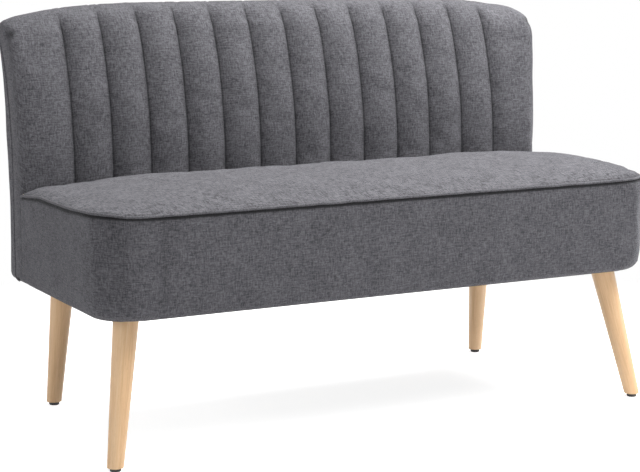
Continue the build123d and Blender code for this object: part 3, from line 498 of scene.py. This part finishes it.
def front_point(x, stretch, share):
    """Point of the channelled cover, as (Y, Z)."""
    lean, crest, rear, turn = crest_centres(x)
    setback = arc_drop(FRONT_EDGE, abs(x) - HALF_BACK + FRONT_EDGE)
    height = flute_height(x)
    keep = {"foot": 0.0, "run": share, "rise": 1.0, "lean": 1.0, "rear": 0.0}.get(stretch)
    if stretch == "crest":
        keep = 1 - smooth(share, 0.25, 0.85)
    bulge = CHANNEL_DEPTH * (1 - keep * (1 - height))
    if height == 0.0:
        bulge -= 0.0008 * keep
    if stretch in ("foot", "run", "rise"):
        spans = {
            "foot": (back_low(x), FOOT_Z),
            "run": (FOOT_Z, FOOT_Z + FOOT_RUN),
            "rise": (FOOT_Z + FOOT_RUN, LEAN_Z),
        }
        low, high = spans[stretch]
        return (VALLEY_Y + setback - bulge, low + (high - low) * share)
    side = "right" if x > 0 else "left"
    if stretch == "lean":
        rounding = np.interp(share, (0, 0.5, 1), LEAN_ROUNDING[side])
        return on_arc(lean, LEAN_RADIUS + bulge - setback * rounding, turn * share)
    if stretch == "crest":
        rounding = np.interp(share, (0, 0.5, 1), CREST_ROUNDING[side])
        angle = turn + (CREST_REAR_ANGLE - turn) * share
        return on_arc(crest, CREST_RADIUS + bulge - setback * rounding, angle)
    drawn_in = setback * REAR_ROUNDING * (1 - share) + rear_setback(x) * share
    angle = CREST_REAR_ANGLE + (180 - CREST_REAR_ANGLE) * share
    return on_arc(rear, CREST_REAR_RADIUS + bulge * (1 - share) - drawn_in, angle)


def wrap_line(z):
    """Depth of the side seam at one level."""
    radius = LEAN_RADIUS - WRAP_DEPTH
    if z <= WRAP_TURN_Z:
        return WRAP_Y + arc_drop(radius, z - LEAN_Z)
    run = WRAP_TURN_Z - LEAN_Z
    start = WRAP_Y + arc_drop(radius, run)
    slope = run / sqrt(radius**2 - run**2)
    end_y, end_z = rear_seam(HALF_BACK)
    height = end_z - WRAP_TURN_Z
    share = (z - WRAP_TURN_Z) / height
    return start + slope * height * share + (end_y - start - slope * height) * share**2


def channel_places():
    """Places across the channelled cover, closest at the stitch lines."""
    steps = [(1 - cos(pi * n / 14)) / 2 for n in range(14)]
    half = [CHANNEL_PITCH * (index + step) for index in range(CHANNEL_COUNT // 2) for step in steps]
    panel = HALF_BACK - FRONT_EDGE - END_PANEL_X
    shares = (0, 0.008, 0.03, 0.07, 0.13, 0.22, 0.33, 0.46, 0.6, 0.74, 0.88)
    half += [END_PANEL_X + panel * share for share in shares]
    half += [HALF_BACK - FRONT_EDGE * (1 - sin(radians(90 * n / 8))) for n in range(9)]
    return [-x for x in reversed(half[1:])] + half


def painted_shade_strength(stretch, share):
    """How strong the painted shade along the stitch lines is on one row: none under the seat, and fading out
    over the crest.
    """
    if stretch == "crest":
        return 1 - smooth(share, 0.35, 0.85)
    return 0.0 if stretch in ("foot", "rear") else 1.0


# Shares of the side band's depth, from the front edge to the side seam
SIDE_BAND = [0.12, 0.3, 0.5, 0.7, 0.88, 1.0]


def side_band(side):
    """Rows of the channelled cover's band on one side, from its front edge to the side seam."""
    profile = np.array([front_point(side * HALF_BACK, *row) for row in FRONT_ROWS])
    lengths = along_rows(profile[None])[0]
    lean_end = [row[0] for row in FRONT_ROWS].index("crest")
    lean_z = profile[lean_end][1] - SIDE_SEAM_LAG
    low, high = back_low(HALF_BACK), rear_seam(HALF_BACK)[1]
    rows = []
    for number, (y, z) in enumerate(profile):
        if number <= lean_end:
            wrap_z = min(z, low + (lean_z - low) * lengths[number] / lengths[lean_end])
        else:
            over = (lengths[number] - lengths[lean_end]) / (lengths[-1] - lengths[lean_end])
            wrap_z = lean_z + (high - lean_z) * over
        wrap_y = wrap_line(wrap_z)
        band = []
        for across in SIDE_BAND:
            puff = SIDE_PUFF * 4 * across * (1 - across)
            band.append((side * (HALF_BACK + puff), y + (wrap_y - y) * across, z + (wrap_z - z) * across))
        rows.append(band)
    return rows


# Painted shade along a stitch line, as strength and reach: a dark painted line in a faint wider painted shade
VALLEY_PAINTED_SHADE = ((0.6, 0.0024), (0.15, 0.010))


def channel_panel():
    """The channel-stitched cover of the back: foot, front, crest and side bands."""
    xs = channel_places()
    rows = []
    for left, place, right in zip(side_band(-1), FRONT_ROWS, side_band(1)):
        rows.append(left[::-1] + [(x, *front_point(x, *place)) for x in xs] + right)
    under = []
    for depth, sink in ((BACK_FLANGE, 1.0), (0.006, 1.0), (0.0, 0.35)):
        row = []
        for x, y, z in rows[0]:
            if abs(x) >= HALF_BACK:
                inset = depth + BACK_ROLL * (1 - sqrt(1 - sink**2))
                row.append((x - np.sign(x) * inset, y, z - (z - COVER_BOTTOM) * sink))
            else:
                row.append((x, y + depth, z))
        under.append(row)
    points = np.array(under + rows)
    uv = length_uv(points, 30)
    u, v = uv[..., 0], uv[..., 1]
    aside = np.abs(points[..., 0])
    front = (points[..., 2] > 0.46) & (aside < HALF_BACK - 0.001)
    points[..., 1] += front * 0.0008 * ripple(u, v, 0.14, seed=21)
    off = stitch_distance(aside)
    stitched = (aside < END_PANEL_X + 0.02) & (points[..., 2] > 0.44)
    fade = np.array([1.0] * len(under) + [painted_shade_strength(*place) for place in FRONT_ROWS])[:, None]
    # Painted shade along the stitch lines of the channels
    painted_shade = sum(depth * np.exp(-off / width) for depth, width in VALLEY_PAINTED_SHADE) * stitched * fade
    away = (np.abs(points) - CREST_TUCK) / CREST_TUCK_SIZE
    tuck = np.exp(-(away**2).sum(-1))
    points[..., 0] -= np.sign(points[..., 0]) * CREST_TUCK_DEPTH * tuck
    # Painted shade in the tuck at each end of the crest
    painted_shade = np.maximum(painted_shade, 0.92 * tuck)
    return grid_piece("back_channel_panel", settle_ends(points), uv, painted_shade)


def rear_line(x, z):
    """Depth of the outer cover's rear face at one level."""
    if z <= FRAME_TOP_Z:
        return BACK_REAR_Y + arc_drop(REAR_LEAN_RADIUS, z - LEAN_Z)
    run = FRAME_TOP_Z - LEAN_Z
    start = BACK_REAR_Y + arc_drop(REAR_LEAN_RADIUS, run)
    slope = run / sqrt(REAR_LEAN_RADIUS**2 - run**2)
    rear = crest_centres(x)[2]
    height = rear[1] - FRAME_TOP_Z
    share = (z - FRAME_TOP_Z) / height
    end_y = rear[0] + CREST_REAR_RADIUS
    return start + slope * height * share + (end_y - start - slope * height) * share**2


def outer_half_row(share):
    """Points of the outer cover at one share of its height, from the right-hand side seam to the middle."""
    points = []
    seam_y, seam_z = rear_seam(HALF_BACK)
    low = COVER_BOTTOM + BACK_ROLL
    z = low + (seam_z - low) * share
    wrap = wrap_line(z)
    round_share = 1 - smooth(share, 0.8, 1.0)
    radius = min(REAR_EDGE, 0.45 * (rear_line(HALF_BACK, z) - wrap)) * round_share + 0.0001
    corner = rear_line(HALF_BACK, z) - (1 - round_share) * (rear_line(HALF_BACK, seam_z) - seam_y)
    for across in np.linspace(0, 1, 8, endpoint=False):
        points.append((HALF_BACK, wrap + (corner - radius - wrap) * across, z, 1, 0))
    for n in range(8):
        turn = pi / 2 * n / 8
        away = (cos(turn), sin(turn))
        points.append(
            (HALF_BACK - radius + radius * away[0], corner - radius + radius * away[1], z, *away)
        )
    for x in np.linspace(HALF_BACK - radius, 0, 60):
        end_z = rear_seam(x)[1]
        level = low + (end_z - low) * share
        setback = rear_setback(x) * (1 - round_share)
        points.append((x, rear_line(x, level) - setback, level, 0, 1))
    return points


def outer_panel():
    """The plain cover on the back's rear and sides, rolled under its lower edge."""
    half_rows = [outer_half_row(share) for share in eased(0, 0.8, 40) + list(np.linspace(0.8, 1, 16))]
    rolls = [(BACK_FLANGE, BACK_ROLL)]
    for turn in (90, 68, 45, 22):
        rolls.append((BACK_ROLL * (1 - cos(radians(turn))), BACK_ROLL * sin(radians(turn))))
    under = []
    for inset, drop in rolls:
        under.append([(x - i * inset, y - j * inset, z - drop, i, j) for x, y, z, i, j in half_rows[0]])
    half = np.array(under + half_rows)
    other = half[:, ::-1].copy()[:, 1:]
    other[..., 0] *= -1
    other[..., 3] *= -1
    whole = np.concatenate([half, other], axis=1)
    points = whole[..., :3]
    uv = length_uv(points, 20)
    u, v = uv[..., 0], uv[..., 1]
    hold = np.clip((points[..., 2] - 0.28) / 0.03, 0, 1) * np.clip((0.72 - points[..., 2]) / 0.04, 0, 1)
    shift = hold * (0.0009 * ripple(u, v, 0.2, seed=31) + 0.0004 * ripple(u, v, 0.07, seed=32) - 0.0006)
    points = points + shift[..., None] * np.stack([whole[..., 3], whole[..., 4], 0 * u], -1)
    return grid_piece("back_outer_panel", settle_ends(points), uv)


def back_piping_path():
    """Path of the piping: up one side of the back, along the rear seam and down the other."""
    x = HALF_BACK
    low = back_low(x)
    path = []
    for turn in (60, 45, 30, 15):
        side = x - BACK_ROLL + BACK_ROLL * cos(radians(turn))
        path.append((side, WRAP_Y, low - BACK_ROLL * sin(radians(turn))))
    seam_z = rear_seam(x)[1]
    path += [(x, wrap_line(z), z) for z in np.linspace(low, seam_z, 80)]
    path[-1] = (x, *rear_seam(x))
    across = [x - 0.0004, x - 0.0009, x - 0.0014, *np.linspace(x - 0.004, 0, 90)]
    path += [(place, *rear_seam(place)) for place in across]
    whole = [(-a, b, c) for a, b, c in path] + [(a, b, c) for a, b, c in reversed(path[:-1])]
    return settle_ends(np.array(whole))


# Simulation


SIMULATED_FRAMES = 20
LOOSENESS = 0.008


def inflate(piece, is_held, pressure, cap):
    """Puff a panel out between its held points with a cloth simulation, and move no point beyond the cap."""
    scene = bpy.context.scene
    count = len(piece.data.vertices)
    rest = np.zeros(count * 3)
    piece.data.vertices.foreach_get("co", rest)
    rest = rest.reshape(-1, 3)
    held = [n for n in range(count) if is_held(*rest[n])]
    group = piece.vertex_groups.new(name="held")
    group.add(held, 1.0, "REPLACE")
    cloth = piece.modifiers.new("cloth", "CLOTH")
    cloth.settings.vertex_group_mass = "held"
    cloth.settings.quality = 5
    cloth.settings.mass = 0.4
    cloth.settings.tension_stiffness = 25
    cloth.settings.compression_stiffness = 15
    cloth.settings.shear_stiffness = 8
    cloth.settings.bending_stiffness = 0.8
    cloth.settings.shrink_min = -LOOSENESS
    cloth.settings.use_pressure = True
    cloth.settings.uniform_pressure_force = pressure
    cloth.settings.effector_weights.gravity = 0
    cloth.point_cache.frame_start = 1
    cloth.point_cache.frame_end = SIMULATED_FRAMES
    for step in range(1, SIMULATED_FRAMES + 1):
        scene.frame_set(step)
    solved = piece.evaluated_get(bpy.context.evaluated_depsgraph_get())
    moved = np.zeros(count * 3)
    solved.data.vertices.foreach_get("co", moved)
    shift = moved.reshape(-1, 3) - rest
    size = np.linalg.norm(shift, axis=1)[:, None]
    shift *= np.minimum(1, cap / np.maximum(size, 1e-9))
    piece.modifiers.remove(cloth)
    piece.vertex_groups.clear()
    piece.data.vertices.foreach_set("co", (rest + shift).ravel())
    piece.data.update()
    scene.frame_set(1)
    print(piece.name, "would have moved by up to", round(float(size.max()) * 1000, 1), "mm")


# Materials


# Sockets of the Mix node when it mixes colours
MIX_COLOUR_A, MIX_COLOUR_B, MIX_COLOUR_OUT = 6, 7, 2


class Shader:
    """A node material under construction, with short calls for the nodes it needs."""

    def __init__(self, name):
        self.material = bpy.data.materials.new(name)
        self.material.use_nodes = True
        self.tree = self.material.node_tree
        self.surface = self.tree.nodes["Principled BSDF"]

    def put(self, socket, value):
        if isinstance(value, bpy.types.NodeSocket):
            self.tree.links.new(value, socket)
        else:
            socket.default_value = value

    def node(self, kind, inputs=(), **settings):
        made = self.tree.nodes.new(kind)
        for key, value in settings.items():
            setattr(made, key, value)
        for key, value in dict(inputs).items():
            self.put(made.inputs[key], value)
        return made

    def math(self, operation, *values):
        return self.node("ShaderNodeMath", enumerate(values), operation=operation).outputs[0]

    def total(self, *terms):
        """Sum of values, each given with its weight."""
        parts = [self.math("MULTIPLY", value, weight) for value, weight in terms]
        whole = parts[0]
        for part in parts[1:]:
            whole = self.math("ADD", whole, part)
        return whole

    def scaled(self, vector, factors):
        inputs = {0: vector, 1: factors}
        return self.node("ShaderNodeVectorMath", inputs, operation="MULTIPLY").outputs[0]

    def noise(self, vector, detail=2.0, roughness=0.5, distortion=0.0):
        inputs = {
            "Vector": vector,
            "Scale": 1.0,
            "Detail": detail,
            "Roughness": roughness,
            "Distortion": distortion,
        }
        return self.node("ShaderNodeTexNoise", inputs).outputs["Fac"]

    def ramp(self, factor, stops):
        made = self.node("ShaderNodeValToRGB", {"Fac": factor})
        ramp = made.color_ramp
        while len(ramp.elements) < len(stops):
            ramp.elements.new(0.5)
        for element, (place, colour) in zip(ramp.elements, stops):
            element.position = place
            element.color = (*colour, 1)
        return made.outputs["Color"]

    def mix(self, factor, socket, colour):
        made = self.node("ShaderNodeMix", data_type="RGBA")
        self.put(made.inputs["Factor"], factor)
        self.put(made.inputs[MIX_COLOUR_A], socket)
        self.put(made.inputs[MIX_COLOUR_B], (*colour, 1))
        return made.outputs[MIX_COLOUR_OUT]

    def bump(self, height, strength, distance):
        inputs = {"Height": height, "Strength": strength, "Distance": distance}
        return self.node("ShaderNodeBump", inputs).outputs["Normal"]

    def finish(self, colour, roughness, normal=None, **constants):
        self.put(self.surface.inputs["Base Color"], colour)
        self.put(self.surface.inputs["Roughness"], roughness)
        if normal is not None:
            self.put(self.surface.inputs["Normal"], normal)
        for key, value in constants.items():
            self.surface.inputs[key.replace("_", " ")].default_value = value
        return self.material


def weave_material(name, dark, light, fleck_size, pitch=0.0014, bias=False):
    """Melange linen-look weave that follows the cloth's UVs, which are in metres, with painted shade where a
    piece marks it.
    """
    shader = Shader(name)
    uv = shader.node("ShaderNodeUVMap", uv_map="weave").outputs[0]
    if bias:
        turned = shader.node("ShaderNodeMapping", {"Vector": uv, "Rotation": (0, 0, radians(45))})
        uv = turned.outputs[0]

    def blotches(width, length, detail, roughness):
        return shader.noise(shader.scaled(uv, (1 / width, 1 / length, 1)), detail, roughness)

    apart = shader.node("ShaderNodeSeparateXYZ", {0: uv})
    warp = shader.math("SINE", shader.math("MULTIPLY", apart.outputs[0], 2 * pi / pitch))
    weft = shader.math("SINE", shader.math("MULTIPLY", apart.outputs[1], 2 * pi / pitch))
    over = shader.math("MULTIPLY", warp, weft)
    slub = shader.total((blotches(0.0016, 0.016, 2, 0.6), 0.5), (blotches(0.018, 0.0017, 2, 0.6), 0.5))
    speck = blotches(0.0026, 0.0026, 3, 0.65)
    cloud = blotches(0.05, 0.05, 2, 0.5)
    short, long = fleck_size
    fleck = shader.total((blotches(short, long, 2, 0.7), 0.5), (blotches(long, short, 2, 0.7), 0.5))
    uneven = shader.math("SUBTRACT", cloud, 0.5)
    tone = shader.total((slub, 0.40), (speck, 0.22), (fleck, 0.38), (over, 0.03), (uneven, 0.08))
    middle = tuple((a + b) / 2 for a, b in zip(dark, light))
    colour = shader.ramp(tone, ((0.43, dark), (0.5, middle), (0.57, light)))
    # Painted shade: darken the colour towards a tenth of the dark tone where the piece's painted_shade
    # attribute is set
    painted_shade = shader.node("ShaderNodeAttribute", attribute_name="painted_shade").outputs["Fac"]
    depth = shader.math("MULTIPLY", painted_shade, 0.92)
    colour = shader.mix(depth, colour, tuple(0.1 * part for part in dark))
    normal = shader.bump(shader.total((over, 0.5), (slub, 1.2)), 0.55, 0.0006)
    rough = shader.math("ADD", shader.math("MULTIPLY", speck, 0.15), 0.82)
    return shader.finish(
        colour,
        rough,
        normal,
        Specular_IOR_Level=0.25,
        Sheen_Weight=0.15,
        Sheen_Roughness=0.4,
        Sheen_Tint=(0.9, 0.9, 0.95, 1),
    )


def leg_material(name, lean_x, lean_y):
    """Pale lacquered beech with its grain along one leg."""
    shader = Shader(name)
    place = shader.node("ShaderNodeTexCoord").outputs["Object"]
    apart = shader.node("ShaderNodeSeparateXYZ", {0: place})
    x, y, z = apart.outputs
    across_x = shader.math("SUBTRACT", x, shader.math("MULTIPLY", z, lean_x))
    across_y = shader.math("SUBTRACT", y, shader.math("MULTIPLY", z, lean_y))
    straight = shader.node("ShaderNodeCombineXYZ", {0: across_x, 1: across_y, 2: z}).outputs[0]
    streak = shader.noise(shader.scaled(straight, (520, 520, 9)), 3, 0.6)
    band = shader.noise(shader.scaled(straight, (75, 75, 3.2)), 3, 0.55, 0.4)
    pore = shader.noise(shader.scaled(straight, (1500, 1500, 70)), 1, 0.5)
    tone = shader.total((band, 0.6), (streak, 0.4))
    stops = ((0.3, (0.61, 0.365, 0.18)), (0.47, (0.78, 0.50, 0.275)), (0.68, (0.84, 0.59, 0.36)))
    colour = shader.ramp(tone, stops)
    dark_pore = shader.math("MULTIPLY", shader.math("GREATER_THAN", pore, 0.66), 0.22)
    colour = shader.mix(dark_pore, colour, (0.42, 0.25, 0.13))
    normal = shader.bump(shader.math("ADD", streak, pore), 0.15, 0.0003)
    rough = shader.math("ADD", shader.math("MULTIPLY", streak, 0.12), 0.38)
    return shader.finish(colour, rough, normal, Coat_Weight=0.12, Coat_Roughness=0.3)


def grained_material(name, dark, light, lengths, rough, depth=0.0003, metallic=0.0):
    """A material with noise stretched over the given lengths along X, Y and Z."""
    shader = Shader(name)
    place = shader.node("ShaderNodeTexCoord").outputs["Object"]
    factors = tuple(1 / length for length in lengths)
    grain = shader.noise(shader.scaled(place, factors), 4, 0.6)
    broad = shader.noise(shader.scaled(place, tuple(factor / 7 for factor in factors)), 2, 0.5)
    colour = shader.ramp(shader.total((grain, 0.6), (broad, 0.4)), ((0.3, dark), (0.7, light)))
    roughness = shader.math("ADD", shader.math("MULTIPLY", grain, 0.16), rough - 0.08)
    normal = shader.bump(grain, 0.4, depth)
    return shader.finish(colour, roughness, normal, Metallic=metallic)


def even(size):
    """The same grain length along X, Y and Z."""
    return (size, size, size)


def dress(node_name, material):
    """Give a CAD node a material of its own."""
    slots = nodes[node_name].material_slots
    if not slots:
        nodes[node_name].data.materials.append(material)
    for place in slots:
        place.link = "OBJECT"
        place.material = material


# Grain lengths of wood that runs along one axis
GRAINS = {"x": (0.09, 0.003, 0.003), "y": (0.003, 0.09, 0.003), "z": (0.003, 0.003, 0.09)}

cover = weave_material("cover_weave", (0.052, 0.050, 0.057), (0.170, 0.167, 0.182), (0.0035, 0.011))
# The cover's weave made darker for the seat's border: painted shade on its upright faces
border_cover = weave_material(
    "border_weave_painted_shade", (0.043, 0.0415, 0.048), (0.145, 0.142, 0.156), (0.0035, 0.011)
)
top_cover = weave_material("top_weave", (0.033, 0.0315, 0.037), (0.182, 0.179, 0.194), (0.0045, 0.018))
# A lighter weave for the piping, cut on the bias: its extra lightness is a painted highlight along the piping
piping = weave_material(
    "piping_weave_painted_highlight", (0.060, 0.058, 0.065), (0.180, 0.177, 0.192), (0.003, 0.006), 0.0012, bias=True
)


dust = grained_material("dust_cloth", (0.008, 0.008, 0.009), (0.03, 0.03, 0.032), even(0.002), 0.9)
softwood_x, softwood_y, softwood_z = (
    grained_material(f"softwood_along_{axis}", (0.50, 0.33, 0.17), (0.72, 0.53, 0.32), lengths, 0.7)
    for axis, lengths in GRAINS.items()
)
fibreboard = grained_material("fibreboard", (0.26, 0.16, 0.09), (0.42, 0.28, 0.17), even(0.003), 0.8)
foam = grained_material("foam", (0.62, 0.57, 0.40), (0.80, 0.76, 0.60), even(0.0015), 0.95, 0.001)
wadding = grained_material(
    "wadding", (0.70, 0.70, 0.68), (0.86, 0.86, 0.85), (0.006, 0.004, 0.006), 0.98, 0.002
)
webbing = grained_material(
    "webbing", (0.03, 0.028, 0.025), (0.10, 0.095, 0.085), (0.001, 0.004, 0.001), 0.85
)
platform = grained_material("platform_cloth", (0.42, 0.39, 0.33), (0.55, 0.52, 0.45), even(0.003), 0.9)
zinc = grained_material(
    "zinc_steel", (0.42, 0.42, 0.41), (0.62, 0.62, 0.60), even(0.004), 0.35, 0.0001, metallic=1.0
)
plastic = grained_material(
    "glide_plastic", (0.010, 0.010, 0.011), (0.022, 0.022, 0.024), even(0.002), 0.5
)

NODE_MATERIALS = {
    softwood_x: (
        "back_bolt_rail back_bottom_rail back_foot_rail back_lumbar_rail back_top_rail seat_front_rail"
        " seat_rear_rail seat_left_corner_block seat_right_corner_block"
    ),
    softwood_y: "seat_left_rail seat_right_rail seat_centre_brace",
    softwood_z: "back_left_post back_right_post back_centre_stud",
    fibreboard: "back_front_board back_rear_board",
    foam: "back_foam",
    wadding: (
        "back_left_pad back_right_pad seat_front_pad seat_left_pad seat_right_pad seat_left_corner_pad"
        " seat_right_corner_pad"
    ),
    webbing: "seat_cross_webbing seat_webbing",
    platform: "seat_platform_cloth",
    zinc: "back_bolts back_bolt_nuts back_bolt_washers leg_bolts leg_bolt_nuts glide_nails",
    plastic: "glide_front_left glide_front_right glide_rear_left glide_rear_right",
}
for material, names in NODE_MATERIALS.items():
    for node_name in names.split():
        dress(node_name, material)

# Splay of the legs in degrees, sideways and lengthwise
LEG_SPLAYS = {"front": (10.1, -11.3), "rear": (2.9, 7.5)}
for place, (side_splay, end_splay) in LEG_SPLAYS.items():
    for side, sign in (("right", 1), ("left", -1)):
        lean_x = -tan(radians(side_splay)) * sign
        lean_y = -tan(radians(end_splay))
        dress(f"leg_{place}_{side}", leg_material(f"beech_{place}_{side}", lean_x, lean_y))


# Soft pieces


def is_stitched(x, y, z):
    """Whether a point of the channelled cover is sewn or stapled down."""
    behind_seat = z < FOOT_Z + 0.018
    at_side = abs(x) > HALF_BACK - 0.004
    if behind_seat or at_side:
        return True
    on_line = stitch_distance(abs(x)) < 0.0012 and abs(x) < END_PANEL_X + 0.001
    rear_y = crest_centres(x)[2][0]
    return (on_line and y < rear_y - 0.01) or y > rear_y + 0.008


def is_seamed(x, y, z):
    """Whether a point of the seat's top panel is at its seam."""
    return seam_distance(x, y) < 0.003 or y > SEAT_REAR_Y - 0.003


def is_border_held(x, y, z):
    """Whether a point of the border is at its seam, under the frame or against the back."""
    return z > SEAM_Z - 0.005 or z < COVER_BOTTOM + 0.012 or y > SEAT_REAR_Y - 0.004


DUST_CELL = 0.012
DUST_STANDOFF = 0.0003
DUST_SLACK = 0.0018
DUST_WRINKLE = 0.0005


def place_piece(piece, material, node_name):
    piece.data.materials.append(material)
    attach(piece, "root")
    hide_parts(node_name)


def dust_sheet(name, node_name, corner):
    """Stretch a thin cloth under the frame in place of a CAD dust cover, a little slack in its middle."""
    low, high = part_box(node_name)
    width, depth = high[0] - low[0], high[1] - low[1]
    counts = [round(length / DUST_CELL) for length in (width, depth)]
    across, along = np.meshgrid(*(np.linspace(0, 1, count) for count in counts))
    slack = 16 * across * (1 - across) * along * (1 - along)
    wrinkle = ripple(width * across, depth * along, 0.12, seed=31) * slack * DUST_WRINKLE
    level = low[2] + DUST_STANDOFF - DUST_SLACK * slack + wrinkle
    drawn_in = np.array([arc_drop(corner, corner - depth * share) for share in along[:, 0]])[:, None]
    half = width / 2 - drawn_in
    middle = (low[0] + high[0]) / 2
    points = np.stack([middle + half * (2 * across - 1), low[1] + depth * along, level], -1)
    piece = grid_piece(name, points, points[..., :2].copy())
    place_piece(piece, dust, node_name)


def place_piping(name, path, node_name):
    """Lay a round piping along a seam."""
    place_piece(tube_piece(name, path, PIPING_RADIUS), piping, node_name)


top = top_panel()
inflate(top, is_seamed, pressure=1.5, cap=0.0018)
thicken(top)
place_piece(top, top_cover, "seat_top_cover")

block = foam_block()
place_piece(block, foam, "seat_foam")

border = border_panel()
inflate(border, is_border_held, pressure=1.0, cap=0.002)
thicken(border)
place_piece(border, border_cover, "seat_border_cover")

channels = channel_panel()
inflate(channels, is_stitched, pressure=2.0, cap=0.0016)
thicken(channels)
place_piece(channels, cover, "back_channel_cover")

outer = outer_panel()
thicken(outer)
place_piece(outer, cover, "back_outer_cover")

place_piping("seat_piping_cord", seat_piping_path(), "seat_piping")
place_piping("back_piping_cord", back_piping_path(), "back_piping")

dust_sheet("seat_dust_sheet", "seat_dust_cover", SEAT_CORNER - DUST_INSET)
dust_sheet("back_dust_sheet", "back_dust_cover", BACK_DUST_CORNER)


# Floor, light and camera


def seen_directly(tree):
    """A value that is 1 for the rays of the camera, of reflections and through glass, and 0 for light."""
    rays = tree.nodes.new("ShaderNodeLightPath")
    seen = rays.outputs["Is Camera Ray"]
    for name in ("Is Glossy Ray", "Is Transmission Ray"):
        either = tree.nodes.new("ShaderNodeMath")
        either.operation = "MAXIMUM"
        tree.links.new(seen, either.inputs[0])
        tree.links.new(rays.outputs[name], either.inputs[1])
        seen = either.outputs[0]
    return seen


# Distances from the middle between which the floor fades to plain white, and the glow that lifts it
FLOOR_FADE = (0.75, 1.5)
FLOOR_GLOW = 0.77


def floor_material():
    """White floor that shows the sofa's shadow and fades to plain white away from it."""
    shader = Shader("studio_floor")
    place = shader.node("ShaderNodeTexCoord").outputs["Object"]
    distance = shader.node("ShaderNodeVectorMath", {0: place}, operation="LENGTH").outputs["Value"]
    far = shader.node("ShaderNodeMapRange", {0: distance, 1: FLOOR_FADE[0], 2: FLOOR_FADE[1]}).outputs[0]
    speck = shader.noise(shader.scaled(place, (40, 40, 40)), 2, 0.5)
    colour = shader.ramp(speck, ((0.3, (0.88, 0.88, 0.88)), (0.7, (0.91, 0.91, 0.91))))
    shader.finish(colour, 0.9, Specular_IOR_Level=0.1)
    plain = shader.surface.outputs[0]
    glow = shader.node("ShaderNodeEmission", {"Color": (1, 1, 1, 1), "Strength": FLOOR_GLOW})
    lifted = shader.node("ShaderNodeAddShader", {0: plain, 1: glow.outputs[0]})
    white = shader.node("ShaderNodeEmission", {"Color": (1, 1, 1, 1), "Strength": 1.0})
    shown = shader.node("ShaderNodeMixShader", {0: far, 1: lifted.outputs[0], 2: white.outputs[0]})
    seen = seen_directly(shader.tree)
    whole = shader.node("ShaderNodeMixShader", {0: seen, 1: plain, 2: shown.outputs[0]})
    shader.tree.links.new(whole.outputs[0], shader.tree.nodes["Material Output"].inputs["Surface"])
    return shader.material


FLOOR_HALF = 30.0
floor_mesh = bpy.data.meshes.new("floor")
floor_corners = [(-FLOOR_HALF, -FLOOR_HALF, 0), (FLOOR_HALF, -FLOOR_HALF, 0)]
floor_corners += [(FLOOR_HALF, FLOOR_HALF, 0), (-FLOOR_HALF, FLOOR_HALF, 0)]
floor_mesh.from_pydata(floor_corners, [], [(0, 1, 2, 3)])
floor_mesh.materials.append(floor_material())
floor = bpy.data.objects.new("floor", floor_mesh)
bpy.context.scene.collection.objects.link(floor)


SOFA_MIDDLE = Vector((0, 0, 0.4))


def area_light(name, place, width, height, power):
    """A soft rectangular lamp turned towards the middle of the sofa."""
    data = bpy.data.lights.new(name, "AREA")
    data.shape = "RECTANGLE"
    data.size = width
    data.size_y = height
    data.energy = power
    lamp = bpy.data.objects.new(name, data)
    lamp.location = place
    lamp.rotation_euler = (SOFA_MIDDLE - Vector(place)).to_track_quat("-Z", "Y").to_euler()
    bpy.context.scene.collection.objects.link(lamp)


area_light("key", (1.25, -0.35, 2.6), 3.4, 2.0, 176)
area_light("front_fill", (2.4, -3.0, 1.6), 1.8, 1.6, 3)
area_light("side_fill", (-3.2, 0.2, 1.4), 1.6, 1.6, 21)

# Even light all round, and plain white where the camera sees past the floor
world = bpy.data.worlds.new("studio")
bpy.context.scene.world = world
world.use_nodes = True
tree = world.node_tree
ambient = tree.nodes["Background"]
ambient.inputs["Color"].default_value = (0.98, 0.99, 1.0, 1)
ambient.inputs["Strength"].default_value = 0.26
backdrop = tree.nodes.new("ShaderNodeBackground")
backdrop.inputs["Color"].default_value = (1, 1, 1, 1)
backdrop.inputs["Strength"].default_value = 1.0
chosen = tree.nodes.new("ShaderNodeMixShader")
tree.links.new(seen_directly(tree), chosen.inputs[0])
tree.links.new(ambient.outputs[0], chosen.inputs[1])
tree.links.new(backdrop.outputs[0], chosen.inputs[2])
tree.links.new(chosen.outputs[0], tree.nodes["World Output"].inputs["Surface"])

# The photo's camera, fitted to the sofa's corners
camera_data = bpy.data.cameras.new("camera")
camera_data.lens = 102.36
camera_data.sensor_width = 36.0
camera = bpy.data.objects.new("camera", camera_data)
camera.location = (-1.66799, -3.08633, 0.91165)
camera.rotation_euler = (radians(90 - 9.371), 0, radians(-28.036))
bpy.context.scene.collection.objects.link(camera)
bpy.context.scene.camera = camera
bpy.context.scene.view_settings.view_transform = "Standard"
